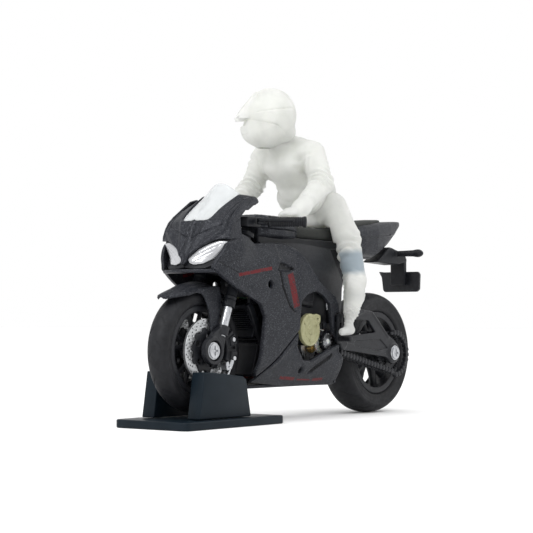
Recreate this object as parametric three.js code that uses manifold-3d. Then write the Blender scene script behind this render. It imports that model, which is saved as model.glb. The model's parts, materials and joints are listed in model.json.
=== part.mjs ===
// Radio-controlled sport motorcycle, about 1:18, with its display stand and a printed rider.
// Millimetres. +X forward, +Y the bike's left (chain side), +Z up, ground at Z = 0.
import * as THREE from "three";
import { ConvexGeometry } from "three/addons/geometries/ConvexGeometry.js";
import { mergeVertices } from "three/addons/utils/BufferGeometryUtils.js";
import Module from "manifold-3d";

const wasm = await Module();
wasm.setup();

// ---- driving dimensions -------------------------------------------------------------
const GAP = 0.3; // clearance between neighbouring parts
const FRONT_AXLE = { x: 42, z: 20 }; // lifted a little by the stand
const REAR_AXLE = { x: -39, z: 18.2 };
const FRONT_TYRE = { radius: 16.5, half: 3.25, bead: 12.4 };
const REAR_TYRE = { radius: 18.2, half: 5.0, bead: 12.7 };
const DISC = { radius: 8.5, inner: 3.35, outer: 4.15 };
const AXLE_RADIUS = 1.0;
const AXLE_BORE = 1.3;
const RAKE = THREE.MathUtils.degToRad(21);
const STEER_BASE = { x: 38.2, z: 20 }; // steering axis at axle height
const FORK = { side: 6.4, ahead: 1.68, outer: 1.6, inner: 0.95 };
const PIVOT = { x: -12.6, z: 21.4 }; // swingarm hinge
const FRONT_SPROCKET = { x: -7.5, z: 22, radius: 2.2, teeth: 9 };
const REAR_SPROCKET = { x: -39, z: 18.2, radius: 5.4, teeth: 22 };
const CHAIN = { gap: 0.42, thick: 0.9, y0: 7.2, y1: 8.35 };
const SPUR = { radius: 3.4, teeth: 24 };
const PINION = { x: -3.1, z: 19.96, radius: 1.2, teeth: 8 };
const FLYWHEEL = { x: 7, z: 14.9, radius: 3.8 };
const STAND = { back: 18.4, front: 59.6, half: 12.5, thick: 2.25, slot: 5.8, outer: 10 };
const SKIN = 1.0; // moulded panel thickness

// ---- materials ----------------------------------------------------------------------
const mat = (color, roughness, metalness = 0, extra = {}) =>
  new THREE.MeshStandardMaterial({ color, roughness, metalness, ...extra });
const M = {
  paint: mat(0x3d4046, 0.5, 0.35),
  black: mat(0x17191b, 0.55),
  satin: mat(0x26292c, 0.45),
  rubber: mat(0x141516, 0.85),
  standBlack: mat(0x1d2124, 0.4),
  steel: mat(0xb8bbbf, 0.3, 0.9),
  disc: mat(0xc9cbcd, 0.32, 0.85),
  cover: mat(0xcdc795, 0.5),
  lamp: mat(0xe3e6e8, 0.12, 0.1),
  screen: mat(0xdfe5ea, 0.05, 0, { transparent: true, opacity: 0.35 }),
  seat: mat(0x4a4c48, 0.8),
  resin: mat(0xdedfd9, 0.45, 0, { transparent: true, opacity: 0.85 }),
  board: mat(0x1f5a3a, 0.5),
  battery: mat(0x3a4f78, 0.45),
  brass: mat(0xb3904a, 0.35, 0.8),
  white: mat(0xe8e6de, 0.5),
};

// ---- solids -------------------------------------------------------------------------
// A closed three.js geometry as a solid, turned the right way out.
function solid(geometry) {
  const flat = geometry.index ? geometry.toNonIndexed() : geometry;
  const bare = new THREE.BufferGeometry();
  bare.setAttribute("position", flat.getAttribute("position"));
  const merged = mergeVertices(bare, 1e-4);
  const faces = [];
  const index = merged.index.array;
  for (let i = 0; i < index.length; i += 3) {
    const [a, b, c] = [index[i], index[i + 1], index[i + 2]];
    if (a !== b && b !== c && a !== c) faces.push(a, b, c);
  }
  const make = (triVerts) =>
    new wasm.Manifold(
      new wasm.Mesh({
        numProp: 3,
        vertProperties: merged.attributes.position.array,
        triVerts: new Uint32Array(triVerts),
      }),
    );
  const made = make(faces);
  if (made.volume() > 0) return made;
  const turned = [];
  for (let i = 0; i < faces.length; i += 3) turned.push(faces[i], faces[i + 2], faces[i + 1]);
  return make(turned);
}

// A solid back as a geometry that a mesh can hold.
function geometryOf(made) {
  const mesh = made.getMesh();
  const at = new Float32Array(mesh.numVert * 3);
  for (let i = 0; i < mesh.numVert; i++)
    for (let k = 0; k < 3; k++) at[3 * i + k] = mesh.vertProperties[mesh.numProp * i + k];
  const g = new THREE.BufferGeometry();
  g.setAttribute("position", new THREE.BufferAttribute(at, 3));
  g.setIndex(Array.from(mesh.triVerts));
  const flat = g.toNonIndexed();
  flat.computeVertexNormals();
  return flat;
}

const union = (...parts) => parts.flat().reduce((a, b) => a.add(b));
const cut = (a, ...parts) => parts.flat().reduce((left, b) => left.subtract(b), a);
const mirror = (a) => a.mirror([0, 1, 0]);

function box(x0, x1, y0, y1, z0, z1) {
  const g = new THREE.BoxGeometry(x1 - x0, y1 - y0, z1 - z0);
  return solid(g.translate((x0 + x1) / 2, (y0 + y1) / 2, (z0 + z1) / 2));
}

function outline(points, holes = []) {
  const shape = new THREE.Shape(points.map(([a, b]) => new THREE.Vector2(a, b)));
  for (const hole of holes)
    shape.holes.push(new THREE.Path(hole.map(([a, b]) => new THREE.Vector2(a, b))));
  return shape;
}

// A side-view outline in X and Z, run across from y0 to y1.
function acrossY(points, y0, y1, holes) {
  const g = new THREE.ExtrudeGeometry(outline(points, holes), {
    depth: y1 - y0,
    bevelEnabled: false,
    curveSegments: 1,
  });
  return solid(g.rotateX(Math.PI / 2).translate(0, y1, 0));
}

// A front-view outline in Y and Z, run along from x0 to x1.
function alongX(points, x0, x1) {
  const g = new THREE.ExtrudeGeometry(outline(points), { depth: x1 - x0, bevelEnabled: false });
  const turn = new THREE.Matrix4().makeBasis(
    new THREE.Vector3(0, 1, 0),
    new THREE.Vector3(0, 0, 1),
    new THREE.Vector3(1, 0, 0),
  );
  return solid(g.applyMatrix4(turn).translate(x0, 0, 0));
}

// A plan-view outline in X and Y, run up from z0 to z1.
function upZ(points, z0, z1) {
  const g = new THREE.ExtrudeGeometry(outline(points), { depth: z1 - z0, bevelEnabled: false });
  return solid(g.translate(0, 0, z0));
}

function rodY(x, z, radius, y0, y1, sides = 20) {
  const g = new THREE.CylinderGeometry(radius, radius, y1 - y0, sides);
  return solid(g.translate(x, (y0 + y1) / 2, z));
}

// A straight round bar from p to q.
function bar(p, q, radius, end = radius, sides = 12) {
  const a = new THREE.Vector3(...p);
  const b = new THREE.Vector3(...q);
  const along = b.clone().sub(a);
  const g = new THREE.CylinderGeometry(end, radius, along.length(), sides);
  const turn = new THREE.Quaternion().setFromUnitVectors(
    new THREE.Vector3(0, 1, 0),
    along.clone().normalize(),
  );
  const mid = a.add(b).multiplyScalar(0.5);
  return solid(g.applyQuaternion(turn).translate(mid.x, mid.y, mid.z));
}

function ball(at, radii, sides = 14) {
  const g = new THREE.SphereGeometry(1, sides, Math.round(sides * 0.6));
  return solid(g.rotateX(Math.PI / 2).scale(...radii).translate(...at));
}

// A rounded limb: the convex skin of a ball at each end.
function limb(p, radius, q, end, sides = 8) {
  const points = [];
  for (const [at, r] of [[p, radius], [q, end]]) {
    const round = new THREE.SphereGeometry(r, sides, Math.round(sides * 0.6));
    const place = round.translate(...at).getAttribute("position");
    for (let i = 0; i < place.count; i++)
      points.push(new THREE.Vector3().fromBufferAttribute(place, i));
  }
  return solid(new ConvexGeometry(points));
}

// A ring turned about an axle: profile points are radius and sideways offset.
function turned(profile, sides = 48) {
  const closed = [...profile, profile[0]].map(([r, y]) => new THREE.Vector2(r, y));
  return solid(new THREE.LatheGeometry(closed, sides));
}

// A closed solid through rings of points, each ring the same length.
function loft(rings) {
  const at = [];
  const n = rings[0].length;
  const tri = (a, b, c) => at.push(...a, ...b, ...c);
  for (let i = 0; i + 1 < rings.length; i++)
    for (let k = 0; k < n; k++) {
      const m = (k + 1) % n;
      tri(rings[i][k], rings[i][m], rings[i + 1][m]);
      tri(rings[i][k], rings[i + 1][m], rings[i + 1][k]);
    }
  for (const [ring, back] of [[rings[0], true], [rings[rings.length - 1], false]]) {
    const mid = [0, 1, 2].map((j) => ring.reduce((s, p) => s + p[j], 0) / n);
    for (let k = 0; k < n; k++) {
      const m = (k + 1) % n;
      if (back) tri(mid, ring[m], ring[k]);
      else tri(mid, ring[k], ring[m]);
    }
  }
  const g = new THREE.BufferGeometry();
  g.setAttribute("position", new THREE.Float32BufferAttribute(at, 3));
  return solid(g);
}

// A rounded-box section across the bike at one x.
function section(x, half, z0, z1, square = 0.62, sides = 20) {
  const ring = [];
  for (let k = 0; k < sides; k++) {
    const a = (2 * Math.PI * k) / sides;
    const round = (v) => Math.sign(v) * Math.abs(v) ** square;
    ring.push([
      x,
      half * round(Math.cos(a)),
      (z0 + z1) / 2 + ((z1 - z0) / 2) * round(Math.sin(a)),
    ]);
  }
  return ring;
}

// A curved sheet: outer face at value(u, v), inner face "thick" below it.
function sheet(us, vs, value, thick, place) {
  const at = [];
  const tri = (a, b, c) => at.push(...a, ...b, ...c);
  const outer = (i, j) => place(us[i], vs[j], value(us[i], vs[j]));
  const inner = (i, j) => place(us[i], vs[j], value(us[i], vs[j]) - thick);
  const quad = (a, b, c, d) => {
    tri(a, b, c);
    tri(a, c, d);
  };
  const [I, J] = [us.length - 1, vs.length - 1];
  for (let i = 0; i < I; i++)
    for (let j = 0; j < J; j++) {
      quad(outer(i, j), outer(i + 1, j), outer(i + 1, j + 1), outer(i, j + 1));
      quad(inner(i, j), inner(i, j + 1), inner(i + 1, j + 1), inner(i + 1, j));
    }
  for (let i = 0; i < I; i++) {
    quad(outer(i, 0), inner(i, 0), inner(i + 1, 0), outer(i + 1, 0));
    quad(outer(i, J), outer(i + 1, J), inner(i + 1, J), inner(i, J));
  }
  for (let j = 0; j < J; j++) {
    quad(outer(0, j), outer(0, j + 1), inner(0, j + 1), inner(0, j));
    quad(outer(I, j), inner(I, j), inner(I, j + 1), outer(I, j + 1));
  }
  const g = new THREE.BufferGeometry();
  g.setAttribute("position", new THREE.Float32BufferAttribute(at, 3));
  return solid(g);
}

const steps = (from, to, n) => Array.from({ length: n + 1 }, (_, i) => from + ((to - from) * i) / n);

function ramp(table, at) {
  if (at <= table[0][0]) return table[0][1];
  for (let i = 1; i < table.length; i++)
    if (at <= table[i][0]) {
      const [a, b] = [table[i - 1], table[i]];
      return a[1] + ((b[1] - a[1]) * (at - a[0])) / (b[0] - a[0]);
    }
  return table[table.length - 1][1];
}

const mirrored = (half) => [...half, ...half.slice().reverse().filter(([y]) => y > 0).map(([y, z]) => [-y, z])];

function arc(x, z, radius, from, to, n) {
  return steps(from, to, n).map((d) => {
    const a = THREE.MathUtils.degToRad(d);
    return [x + radius * Math.cos(a), z + radius * Math.sin(a)];
  });
}

// A toothed wheel outline with square-cut teeth.
function toothed(x, z, radius, depth, teeth) {
  const points = [];
  for (let k = 0; k < teeth; k++)
    for (const [f, r] of [[-0.32, radius - depth], [-0.16, radius], [0.16, radius], [0.32, radius - depth]]) {
      const a = (2 * Math.PI * (k + f)) / teeth;
      points.push([x + r * Math.cos(a), z + r * Math.sin(a)]);
    }
  return points;
}

// The outline of a belt round two circles.
function belt(a, ra, b, rb, n = 12) {
  const base = Math.atan2(b.z - a.z, b.x - a.x);
  const spread = Math.acos((ra - rb) / Math.hypot(b.x - a.x, b.z - a.z));
  const round = (c, r, from, to) =>
    steps(from, to, n).map((t) => [c.x + r * Math.cos(t), c.z + r * Math.sin(t)]);
  return [
    ...round(a, ra, base + spread, base + 2 * Math.PI - spread),
    ...round(b, rb, base - spread, base + spread),
  ];
}

// The cross-shaped recess of a screw head.
const cross = (x, z, y0, y1) =>
  union(box(x - 1.1, x + 1.1, y0, y1, z - 0.28, z + 0.28), box(x - 0.28, x + 0.28, y0, y1, z - 1.1, z + 1.1));

const root = new THREE.Group();
function add(name, made, material) {
  const mesh = new THREE.Mesh(geometryOf(made), material);
  mesh.name = name;
  root.add(mesh);
}
// The left one and its mirror image.
function addPair(name, left, material) {
  add(name + "_left", left, material);
  add(name + "_right", mirror(left), material);
}

// ---- body surfaces ------------------------------------------------------------------
// Half-width of the fairing at a point of the side view.
const WIDTH = [[8, 4.4], [9.4, 5.4], [12, 7.2], [16, 9.5], [18, 10.1], [20, 10.2], [26, 10.35], [34, 10.5], [40, 10.4], [45, 10], [50, 9.2], [53, 8.6]];
const eased = (t) => {
  const u = Math.min(1, Math.max(0, t));
  return u * u * (3 - 2 * u);
};
function sideWidth(x, z) {
  const nose = x > 34 ? 1 - 0.13 * ((x - 34) / 12) ** 2 : 1;
  const tail = x < -12 ? 1 - 0.02 * (-12 - x) : 1;
  const shoulder = 2.3 * eased((x - 27) / 9) * eased((z - 41) / 7);
  return ramp(WIDTH, z) * nose * tail + shoulder;
}
const CURL = [[40, 0.03], [42, 0.03], [44.4, 0.045], [48.8, 0.0204], [52.3, 0.017], [55, 0.02], [57.4, 0.03], [59, 0.05],
  [60.5, 0.075], [62, 0.1], [67, 0.14]];
// How far forward the nose and screen reach at a point of the front view.
function noseReach(y, z) {
  const centre = Math.min(47.4 - 0.4 * (z - 41.8), 42.3 - 1.0 * (z - 54.5));
  return centre - ramp(CURL, z) * y * y;
}
const sidePanel = (points, holes) =>
  sheet(steps(-16, 47, 14), WIDTH.map(([z]) => z), sideWidth, SKIN, (x, z, y) => [x, y, z])
    .intersect(acrossY(points, 0.5, 12, holes));
const nosePanel = (points, thick, back = 0) =>
  sheet(steps(-12.4, 12.4, 10), [40.5, 44.4, 48.8, 52, 54.5, 57.4, 60, 62, 66], noseReach, thick,
    (y, z, x) => [x - back, y, z]).intersect(alongX(points, 15, 60));

// ---- display stand ------------------------------------------------------------------
function roundedPlan(x0, x1, half, r) {
  const corner = (x, y, from) => arc(x, y, r, from, from + 90, 4);
  return [
    ...corner(x1 - r, half - r, 0),
    ...corner(x0 + r, half - r, 90),
    ...corner(x0 + r, -half + r, 180),
    ...corner(x1 - r, -half + r, 270),
  ];
}
add("stand_base", upZ(roundedPlan(STAND.back, STAND.front, STAND.half, 1.6), 0, STAND.thick), M.standBlack);
const cheek = acrossY(
  [[30.2, STAND.thick + 0.2], [51.6, STAND.thick + 0.2], [49.6, 14.6], [46, 14.5], [33.6, 13.2], [32.2, 12.3]],
  STAND.slot, STAND.outer,
);
addPair("stand_cheek", cheek, M.standBlack);

// ---- front wheel --------------------------------------------------------------------
function tyre({ radius, half, bead }) {
  const side = [
    [bead, half * 0.8], [radius * 0.86, half], [radius * 0.93, half * 0.9], [radius * 0.985, half * 0.5],
  ];
  return turned([...side, [radius, 0], ...side.slice().reverse().map(([r, y]) => [r, -y])], 44);
}
function rim(outer, half, hub, hubHalf, spokes) {
  const band = turned([
    [outer, half], [outer - 1.0, half], [outer - 1.5, half * 0.5], [outer - 1.5, -half * 0.5],
    [outer - 1.0, -half], [outer, -half],
  ], 40);
  const core = rodY(0, 0, hub, -hubHalf, hubHalf, 28);
  const arms = [];
  for (let k = 0; k < spokes; k++)
    for (const lean of [-0.13, 0.13]) {
      const a = (2 * Math.PI * k) / spokes + Math.PI / 2;
      const foot = [(hub - 0.6) * Math.cos(a + lean), 0, (hub - 0.6) * Math.sin(a + lean)];
      const tip = [(outer - 0.9) * Math.cos(a + lean * 1.5), 0, (outer - 0.9) * Math.sin(a + lean * 1.5)];
      arms.push(bar(foot, tip, half * 0.36, half * 0.28, 6));
    }
  return cut(union(band, core, arms), rodY(0, 0, AXLE_BORE, -hubHalf - 1, hubHalf + 1, 20));
}
const atFront = (s) => s.translate([FRONT_AXLE.x, 0, FRONT_AXLE.z]);
const atRear = (s) => s.translate([REAR_AXLE.x, 0, REAR_AXLE.z]);
add("front_tyre", atFront(tyre(FRONT_TYRE)), M.rubber);
add("front_rim", atFront(rim(FRONT_TYRE.bead - GAP, 2.3, 2.8, 3.0, 5)), M.satin);
// A drilled disc with a scalloped inner edge on its carrier.
function brakeDisc() {
  const carrier = toothed(0, 0, 6.2, 0.9, 10);
  let ring = turned([[DISC.radius, DISC.inner], [DISC.radius, DISC.outer], [5.2, DISC.outer], [5.2, DISC.inner]], 40);
  const holes = [];
  for (let k = 0; k < 10; k++) {
    const a = (2 * Math.PI * k) / 10;
    const r = k % 2 ? 7.6 : 7.0;
    holes.push(rodY(r * Math.cos(a), r * Math.sin(a), 0.32, 3, 4.5, 5));
  }
  ring = cut(ring, holes);
  const middle = acrossY(carrier, DISC.inner + 0.15, DISC.outer - 0.15);
  const boss = rodY(0, 0, 2.3, DISC.inner, 4.9, 20);
  return cut(union(ring, middle, boss), rodY(0, 0, AXLE_BORE, 3, 5.5, 20));
}
addPair("brake_disc", atFront(brakeDisc()), M.disc);
let frontAxle = union(
  rodY(0, 0, AXLE_RADIUS, -6.6, 6.6, 20),
  rodY(0, 0, 2.35, 6.35, 7.25),
  rodY(0, 0, 2.35, -7.25, -6.35),
);
frontAxle = cut(frontAxle, cross(0, 0, 6.8, 8), cross(0, 0, -8, -6.8));
add("front_axle", atFront(frontAxle), M.steel);

// ---- fork and steering --------------------------------------------------------------
// Built upright about the steering axis, then raked back.
const raked = (s) => s.rotate([0, -21, 0]).translate([STEER_BASE.x, 0, STEER_BASE.z]);
const upright = (u, y, radius, s0, s1, sides = 20) => bar([u, y, s0], [u, y, s1], radius, radius, sides);
const outerTube = cut(
  upright(FORK.ahead, FORK.side, FORK.outer, 11.6, 33.2),
  upright(FORK.ahead, FORK.side, FORK.inner + 0.25, 11, 21.5),
);
addPair("fork_outer", raked(outerTube), M.black);
const yoke = (s0, s1) => upZ(
  mirrored([[3.0, 0], [3.6, 4.2], [4.0, 6.4], [3.0, 8.6], [0.4, 8.6], [-1.2, 5.5], [-2.2, 2.6], [-2.4, 0]].map(([u, y]) => [y, u]))
    .map(([y, u]) => [u, y]), s0, s1,
);
const steeringStem = cut(
  union(yoke(22.4, 24.4), yoke(32, 33.4), upright(0, 0, 1.35, 23, 33)),
  upright(FORK.ahead, FORK.side, FORK.outer + 0.2, 20, 35),
  upright(FORK.ahead, -FORK.side, FORK.outer + 0.2, 20, 35),
);
add("steering_stem", raked(steeringStem), M.black);
const innerTube = raked(upright(FORK.ahead, FORK.side, FORK.inner, 3.4, 18.2, 16));
const foot = union(
  rodY(FRONT_AXLE.x, FRONT_AXLE.z, 3.5, 5.25, 7.1, 28),
  acrossY([[43.6, 21], [38.4, 19.2], [37.1, 25.0], [39.0, 25.8], [41.6, 23.6]], 5.35, 7.35),
);
const forkLeg = cut(
  union(innerTube, foot),
  rodY(FRONT_AXLE.x, FRONT_AXLE.z, AXLE_BORE, 5, 8, 20),
  rodY(FRONT_AXLE.x, FRONT_AXLE.z, 2.7, 6.05, 8),
);
addPair("fork_leg", forkLeg, M.satin);
const caliperShape = [
  ...arc(FRONT_AXLE.x, FRONT_AXLE.z, 9.9, 146, 206, 8),
  ...arc(FRONT_AXLE.x, FRONT_AXLE.z, 5.6, 206, 146, 8),
];
const caliper = cut(
  union(acrossY(caliperShape, 4.55, 7.0), rodY(34, 24.6, 0.9, 6.9, 7.5, 12), rodY(33.2, 18.2, 0.9, 6.9, 7.5, 12)),
  acrossY([[37.6, 10], [45, 10], [45, 31], [35.2, 31], [36.4, 25], [37.6, 19]], 4, 8),
);
addPair("brake_caliper", caliper, M.black);
// The front mudguard: an arched shell with an arm down in front of each fork leg.
function frontFender() {
  const rings = steps(46, 138, 10).map((deg) => {
    const a = THREE.MathUtils.degToRad(deg);
    const lift = deg < 66 ? ((66 - deg) / 20) ** 1.5 * 2.1 : 0;
    const crown = 18.2 + lift;
    const half = deg < 62 ? 2.2 + ((deg - 46) / 16) * 2.1 : 4.3;
    const drop = deg < 62 ? 1.2 : 1.2 + Math.min(1, (deg - 62) / 20) * 1.2;
    const outer = [[half, -drop], [half * 0.98, -drop * 0.4], [half * 0.75, -0.28], [half * 0.4, -0.05], [0, 0]];
    const inner = [[0, -0.7], [half * 0.38, -0.75], [half * 0.68, -0.98], [half - 0.68, -drop * 0.5], [half - 0.62, -drop]];
    const full = [...outer.slice(0, 5), ...outer.slice(0, 4).reverse().map(([y, r]) => [-y, r]),
      ...inner.slice(1).reverse().map(([y, r]) => [-y, r]), ...inner];
    return full.map(([y, r]) => [
      FRONT_AXLE.x + (crown + r) * Math.cos(a), y, FRONT_AXLE.z + (crown + r) * Math.sin(a),
    ]);
  });
  const shell = loft(rings);
  const arm = union(
    acrossY([[45.6, 35.6], [42.6, 33.2], [41.3, 30], [41.0, 26.4], [40.9, 25.4], [38.9, 25.6], [37.4, 30], [36.9, 34], [38.5, 36.3]], 4.5, 5.1),
    acrossY([[45.6, 35.6], [39.6, 36.2], [38.2, 33.6], [43.2, 33.6]], 3.8, 4.6),
  );
  return union(shell, arm, mirror(arm));
}
add("front_fender", frontFender(), M.paint);

// ---- rear wheel and drive -----------------------------------------------------------
add("rear_tyre", atRear(tyre(REAR_TYRE)), M.rubber);
add("rear_rim", atRear(rim(REAR_TYRE.bead - GAP, 4.0, 3.2, 4.5, 5)), M.satin);
const rearSprocket = cut(
  union(
    acrossY(toothed(0, 0, REAR_SPROCKET.radius, 0.7, REAR_SPROCKET.teeth), 7.55, 8.25),
    rodY(0, 0, 2.7, 4.8, 8.25),
  ),
  rodY(0, 0, AXLE_BORE, 4, 9, 20),
  [0, 1, 2, 3, 4].map((k) => rodY(3.7 * Math.cos(k * 1.257), 3.7 * Math.sin(k * 1.257), 0.65, 7, 9, 10)),
);
add("rear_sprocket", atRear(rearSprocket), M.satin);
const inside = CHAIN.gap;
const chain = acrossY(
  belt(FRONT_SPROCKET, FRONT_SPROCKET.radius + inside + CHAIN.thick, REAR_SPROCKET, REAR_SPROCKET.radius + inside + CHAIN.thick, 14),
  CHAIN.y0, CHAIN.y1,
  [belt(FRONT_SPROCKET, FRONT_SPROCKET.radius + inside, REAR_SPROCKET, REAR_SPROCKET.radius + inside, 14)],
);
add("drive_chain", chain, M.black);
const frontSprocket = cut(
  acrossY(toothed(FRONT_SPROCKET.x, FRONT_SPROCKET.z, FRONT_SPROCKET.radius, 0.5, FRONT_SPROCKET.teeth), 7.5, 8.3),
  rodY(FRONT_SPROCKET.x, FRONT_SPROCKET.z, 0.95, 7, 9, 16),
);
add("front_sprocket", frontSprocket, M.steel);
const spurGear = union(
  acrossY(toothed(FRONT_SPROCKET.x, FRONT_SPROCKET.z, SPUR.radius, 0.3, SPUR.teeth), 4.9, 6.1),
  rodY(FRONT_SPROCKET.x, FRONT_SPROCKET.z, 0.7, -4.2, 8.3, 16),
);
add("spur_gear", spurGear, M.white);
add("motor_pinion", union(
  acrossY(toothed(PINION.x, PINION.z, PINION.radius, 0.25, PINION.teeth), 4.9, 6.1),
  rodY(PINION.x, PINION.z, 0.4, 4.0, 6.3, 12),
), M.brass);
add("drive_motor", cut(
  rodY(PINION.x, PINION.z, 3.5, -6.0, 4.5, 28),
  rodY(PINION.x, PINION.z, 0.7, 3.6, 5, 12),
), M.steel);
const rearAxle = cut(
  union(
    rodY(0, 0, AXLE_RADIUS, -8.6, 10.6, 20),
    rodY(0, 0, 2.2, 10.45, 11.1),
    rodY(0, 0, 2.2, -9.0, -8.35),
  ),
  cross(0, 0, 10.8, 12),
);
add("rear_axle", atRear(rearAxle), M.steel);

// ---- swingarm and shock -------------------------------------------------------------
const leftArm = acrossY(
  [
    [-10.9, 21.0], [-11.2, 23.0], [-13.6, 27.2], [-17.6, 30.2], [-23, 31.2], [-27.5, 30.8], [-31, 28.2],
    [-35.6, 23.8], [-39.6, 22.0], [-42, 20.4], [-42.6, 17.6], [-41, 15.2], [-38, 14.8], [-35.6, 16.9], [-11.6, 19.6],
  ],
  8.85, 10.1, [[[-15.8, 26.4], [-19, 28.2], [-25.6, 28.0], [-29.4, 24.4], [-16, 23.4]]],
);
const rightArm = acrossY(
  [
    [-10.9, 21.0], [-11.4, 23.2], [-15.4, 25.6], [-18, 28.6], [-23, 29.4], [-29, 26.6],
    [-35.6, 22.6], [-39.6, 21.6], [-42, 20.2], [-42.4, 17.4], [-41, 15.2], [-38, 14.8], [-33, 17.0], [-11.6, 19.4],
  ],
  -8.0, -6.6,
);
const swingarm = cut(
  union(
    leftArm, rightArm,
    rodY(PIVOT.x, PIVOT.z, 1.3, -7, 9.5, 20),
    box(-19.4, -15.7, -7.4, 9.6, 26.3, 28.9),
  ),
  rodY(REAR_AXLE.x, REAR_AXLE.z, AXLE_BORE, -10, 12, 20),
);
add("swingarm", swingarm, M.satin);
function shock() {
  const low = [-17.6, 0, 29.5];
  const high = [-14.4, 0, 42.5];
  const mix = (t) => low.map((v, i) => v + (high[i] - v) * t);
  const coils = steps(0.16, 0.76, 4).map((t) => bar(mix(t), mix(t + 0.07), 2.0, 2.0, 10));
  return union(bar(low, high, 0.9), bar(mix(0.1), mix(0.86), 1.45, 1.45, 10), coils);
}
add("shock_absorber", shock(), M.steel);

// ---- frame and drive housing --------------------------------------------------------
const framePlate = acrossY(
  [
    [23.4, 49.4], [5, 49.6], [-9.5, 48.6], [-15.6, 39.6], [-14.8, 27.2], [-10.4, 27.2], [-10.2, 33.6],
    [1, 38.6], [7, 43.2], [14, 46.2], [22.6, 46.4],
  ],
  6.5, 7.6,
);
const seatRail = acrossY([[-8, 45.2], [-8, 47.6], [-31.5, 51.8], [-31.5, 50.4], [-12, 45.0]], 2.3, 3.5);
const headTube = raked(upright(0, 0, 2.9, 25.2, 31.2, 24));
const mainFrame = cut(
  union(
    framePlate, mirror(framePlate),
    box(-14.8, -10.4, -7.0, -3.4, 27.2, 31), box(-14.8, -10.4, 3.4, 7.0, 27.2, 31),
    box(-14.8, -10.25, -4.4, 4.4, 18.8, 28.4),
    box(-15.4, -9.2, -7.2, 7.2, 42.9, 45.6),
    seatRail, mirror(seatRail),
    box(18.2, 22.6, -7.2, 7.2, 46.3, 48.8),
    box(22, 27.0, -2.9, 2.9, 44.6, 48.3),
    headTube,
  ),
  raked(upright(0, 0, 1.7, 20, 36, 24)),
  rodY(PIVOT.x, PIVOT.z, 1.6, -9, 9, 20),
  box(-12.5, -8, -1.8, 1.8, 45.6, 52),
);
add("main_frame", mainFrame, M.satin);
const engineBlock = cut(
  union(
    acrossY([[15, 20.2], [15, 30], [10, 34.4], [-4, 34.4], [-9.9, 28], [-9.9, 17], [-6, 14], [1.6, 14], [2.6, 20.2]], -4.4, 4.4),
    rodY(2.8, 25.3, 4.4, 4.2, 8.3, 28),
    rodY(2.8, 25.3, 4.4, -8.3, -4.2, 28),
    box(3, 9, -5.6, 5.6, 29.6, 33.6),
  ),
  rodY(PINION.x, PINION.z, 3.8, -7, 5, 28),
  rodY(FRONT_SPROCKET.x, FRONT_SPROCKET.z, 1.0, -7, 7, 16),
);
add("engine_block", engineBlock, M.black);
const coverDisc = union(rodY(2.8, 25.3, 4.6, 8.6, 9.7, 32), rodY(-0.9, 28.4, 0.95, 8.6, 9.6, 14), rodY(2.1, 25.1, 1.5, 9.6, 9.95, 16));
addPair("engine_cover", coverDisc, M.cover);
add("radiator", cut(
  acrossY([[26.9, 31.6], [21.3, 21.3], [19.4, 22.35], [25, 32.65]], -6.6, 6.6),
  steps(0.08, 0.92, 9).map((t) => {
    const [x, z] = [21.3 + 5.6 * t, 21.3 + 10.3 * t];
    return acrossY([[x + 1, z - 0.5], [x + 1, z + 0.1], [x - 0.9, z + 0.5], [x - 0.9, z - 0.1]], -5.9, 5.9);
  }),
), M.black);
add("battery", box(-6, 17.4, -5, 5, 37, 45.8), M.battery);
add("control_board", union(
  box(18.2, 19.2, -5.4, 5.4, 34, 45.6),
  box(18.9, 20.3, -2.4, 2.4, 37, 41.4),
), M.board);
add("steering_actuator", union(
  box(21.2, 25.6, -4.5, 4.5, 34.4, 42.6),
  rodY(25.4, 38.5, 1.5, -2, 2, 16),
), M.black);
add("gyro_flywheel", union(
  turned([[3.8, -3.8], [3.8, 1.8], [2.9, 1.8], [2.9, -0.4], [0.9, -0.4], [0.9, -1.6], [2.9, -1.6], [2.9, -3.8]], 40)
    .translate([FLYWHEEL.x, 0, FLYWHEEL.z]),
  rodY(FLYWHEEL.x, FLYWHEEL.z, 1.1, -1.6, 1.9, 16),
), M.brass);
add("gyro_motor", rodY(FLYWHEEL.x, FLYWHEEL.z, 2.5, 2.3, 5.8), M.steel);

// ---- body panels --------------------------------------------------------------------
const sideFairing = cut(
  sidePanel([
    [45.0, 41.6], [44.1, 44.4], [41.5, 48.6], [38.0, 50.2], [35.7, 51.0], [31.0, 50.0], [28, 48.7], [20, 49.3],
    [13, 49.1], [9, 47.9], [5.7, 45.7], [2.6, 42.6], [-0.5, 39.1], [-4, 37], [-8, 35], [-10.2, 32.4],
    [-10.5, 28], [-10.4, 21.6], [-7.2, 25.2], [-5.6, 32.6], [0.8, 36.2], [7.6, 32.9], [8.6, 25.4],
    [25.2, 12.6], [26.2, 14.4], [24.3, 28.9], [26.6, 32.6], [31, 34.3], [36.4, 36.4], [41, 39],
  ]),
  rodY(22, 37.8, 0.95, 5, 14, 14),
  rodY(-9.5, 28.5, 1.5, 5, 14, 16),
  nosePanel([[0, 40.9], [4.2, 41.1], [8.4, 42.4], [11.3, 45.4], [11.8, 48.2], [12.3, 49.0], [12.3, 62], [0, 62]], 3.4, -GAP - 0.25),
  acrossY([[18.9, 41.9], [12.0, 31.4], [12.4, 31.0], [19.5, 41.7], [21, 43.9], [20.6, 44.0]], 9.9, 12),
);
addPair("side_fairing", sideFairing, M.paint);
const bellyPan = cut(
  union(
    sidePanel([
      [24.9, 12.2], [26.2, 11.2], [7.6, 9.5], [-14.6, 9.3], [-14.6, 13.9], [-13.4, 17.2], [-10.4, 19.0], [-10.4, 21.2], [-7.0, 20.4],
      [-2.6, 18.8], [3, 16.6], [6.6, 17], [9.6, 20.6], [9.0, 24.6],
    ]),
    box(-14.4, 25.6, 0.15, 5.2, 9.4, 10.4),
  ),
  rodY(5.6, 14.1, 0.8, 5, 12, 14),
);
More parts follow.
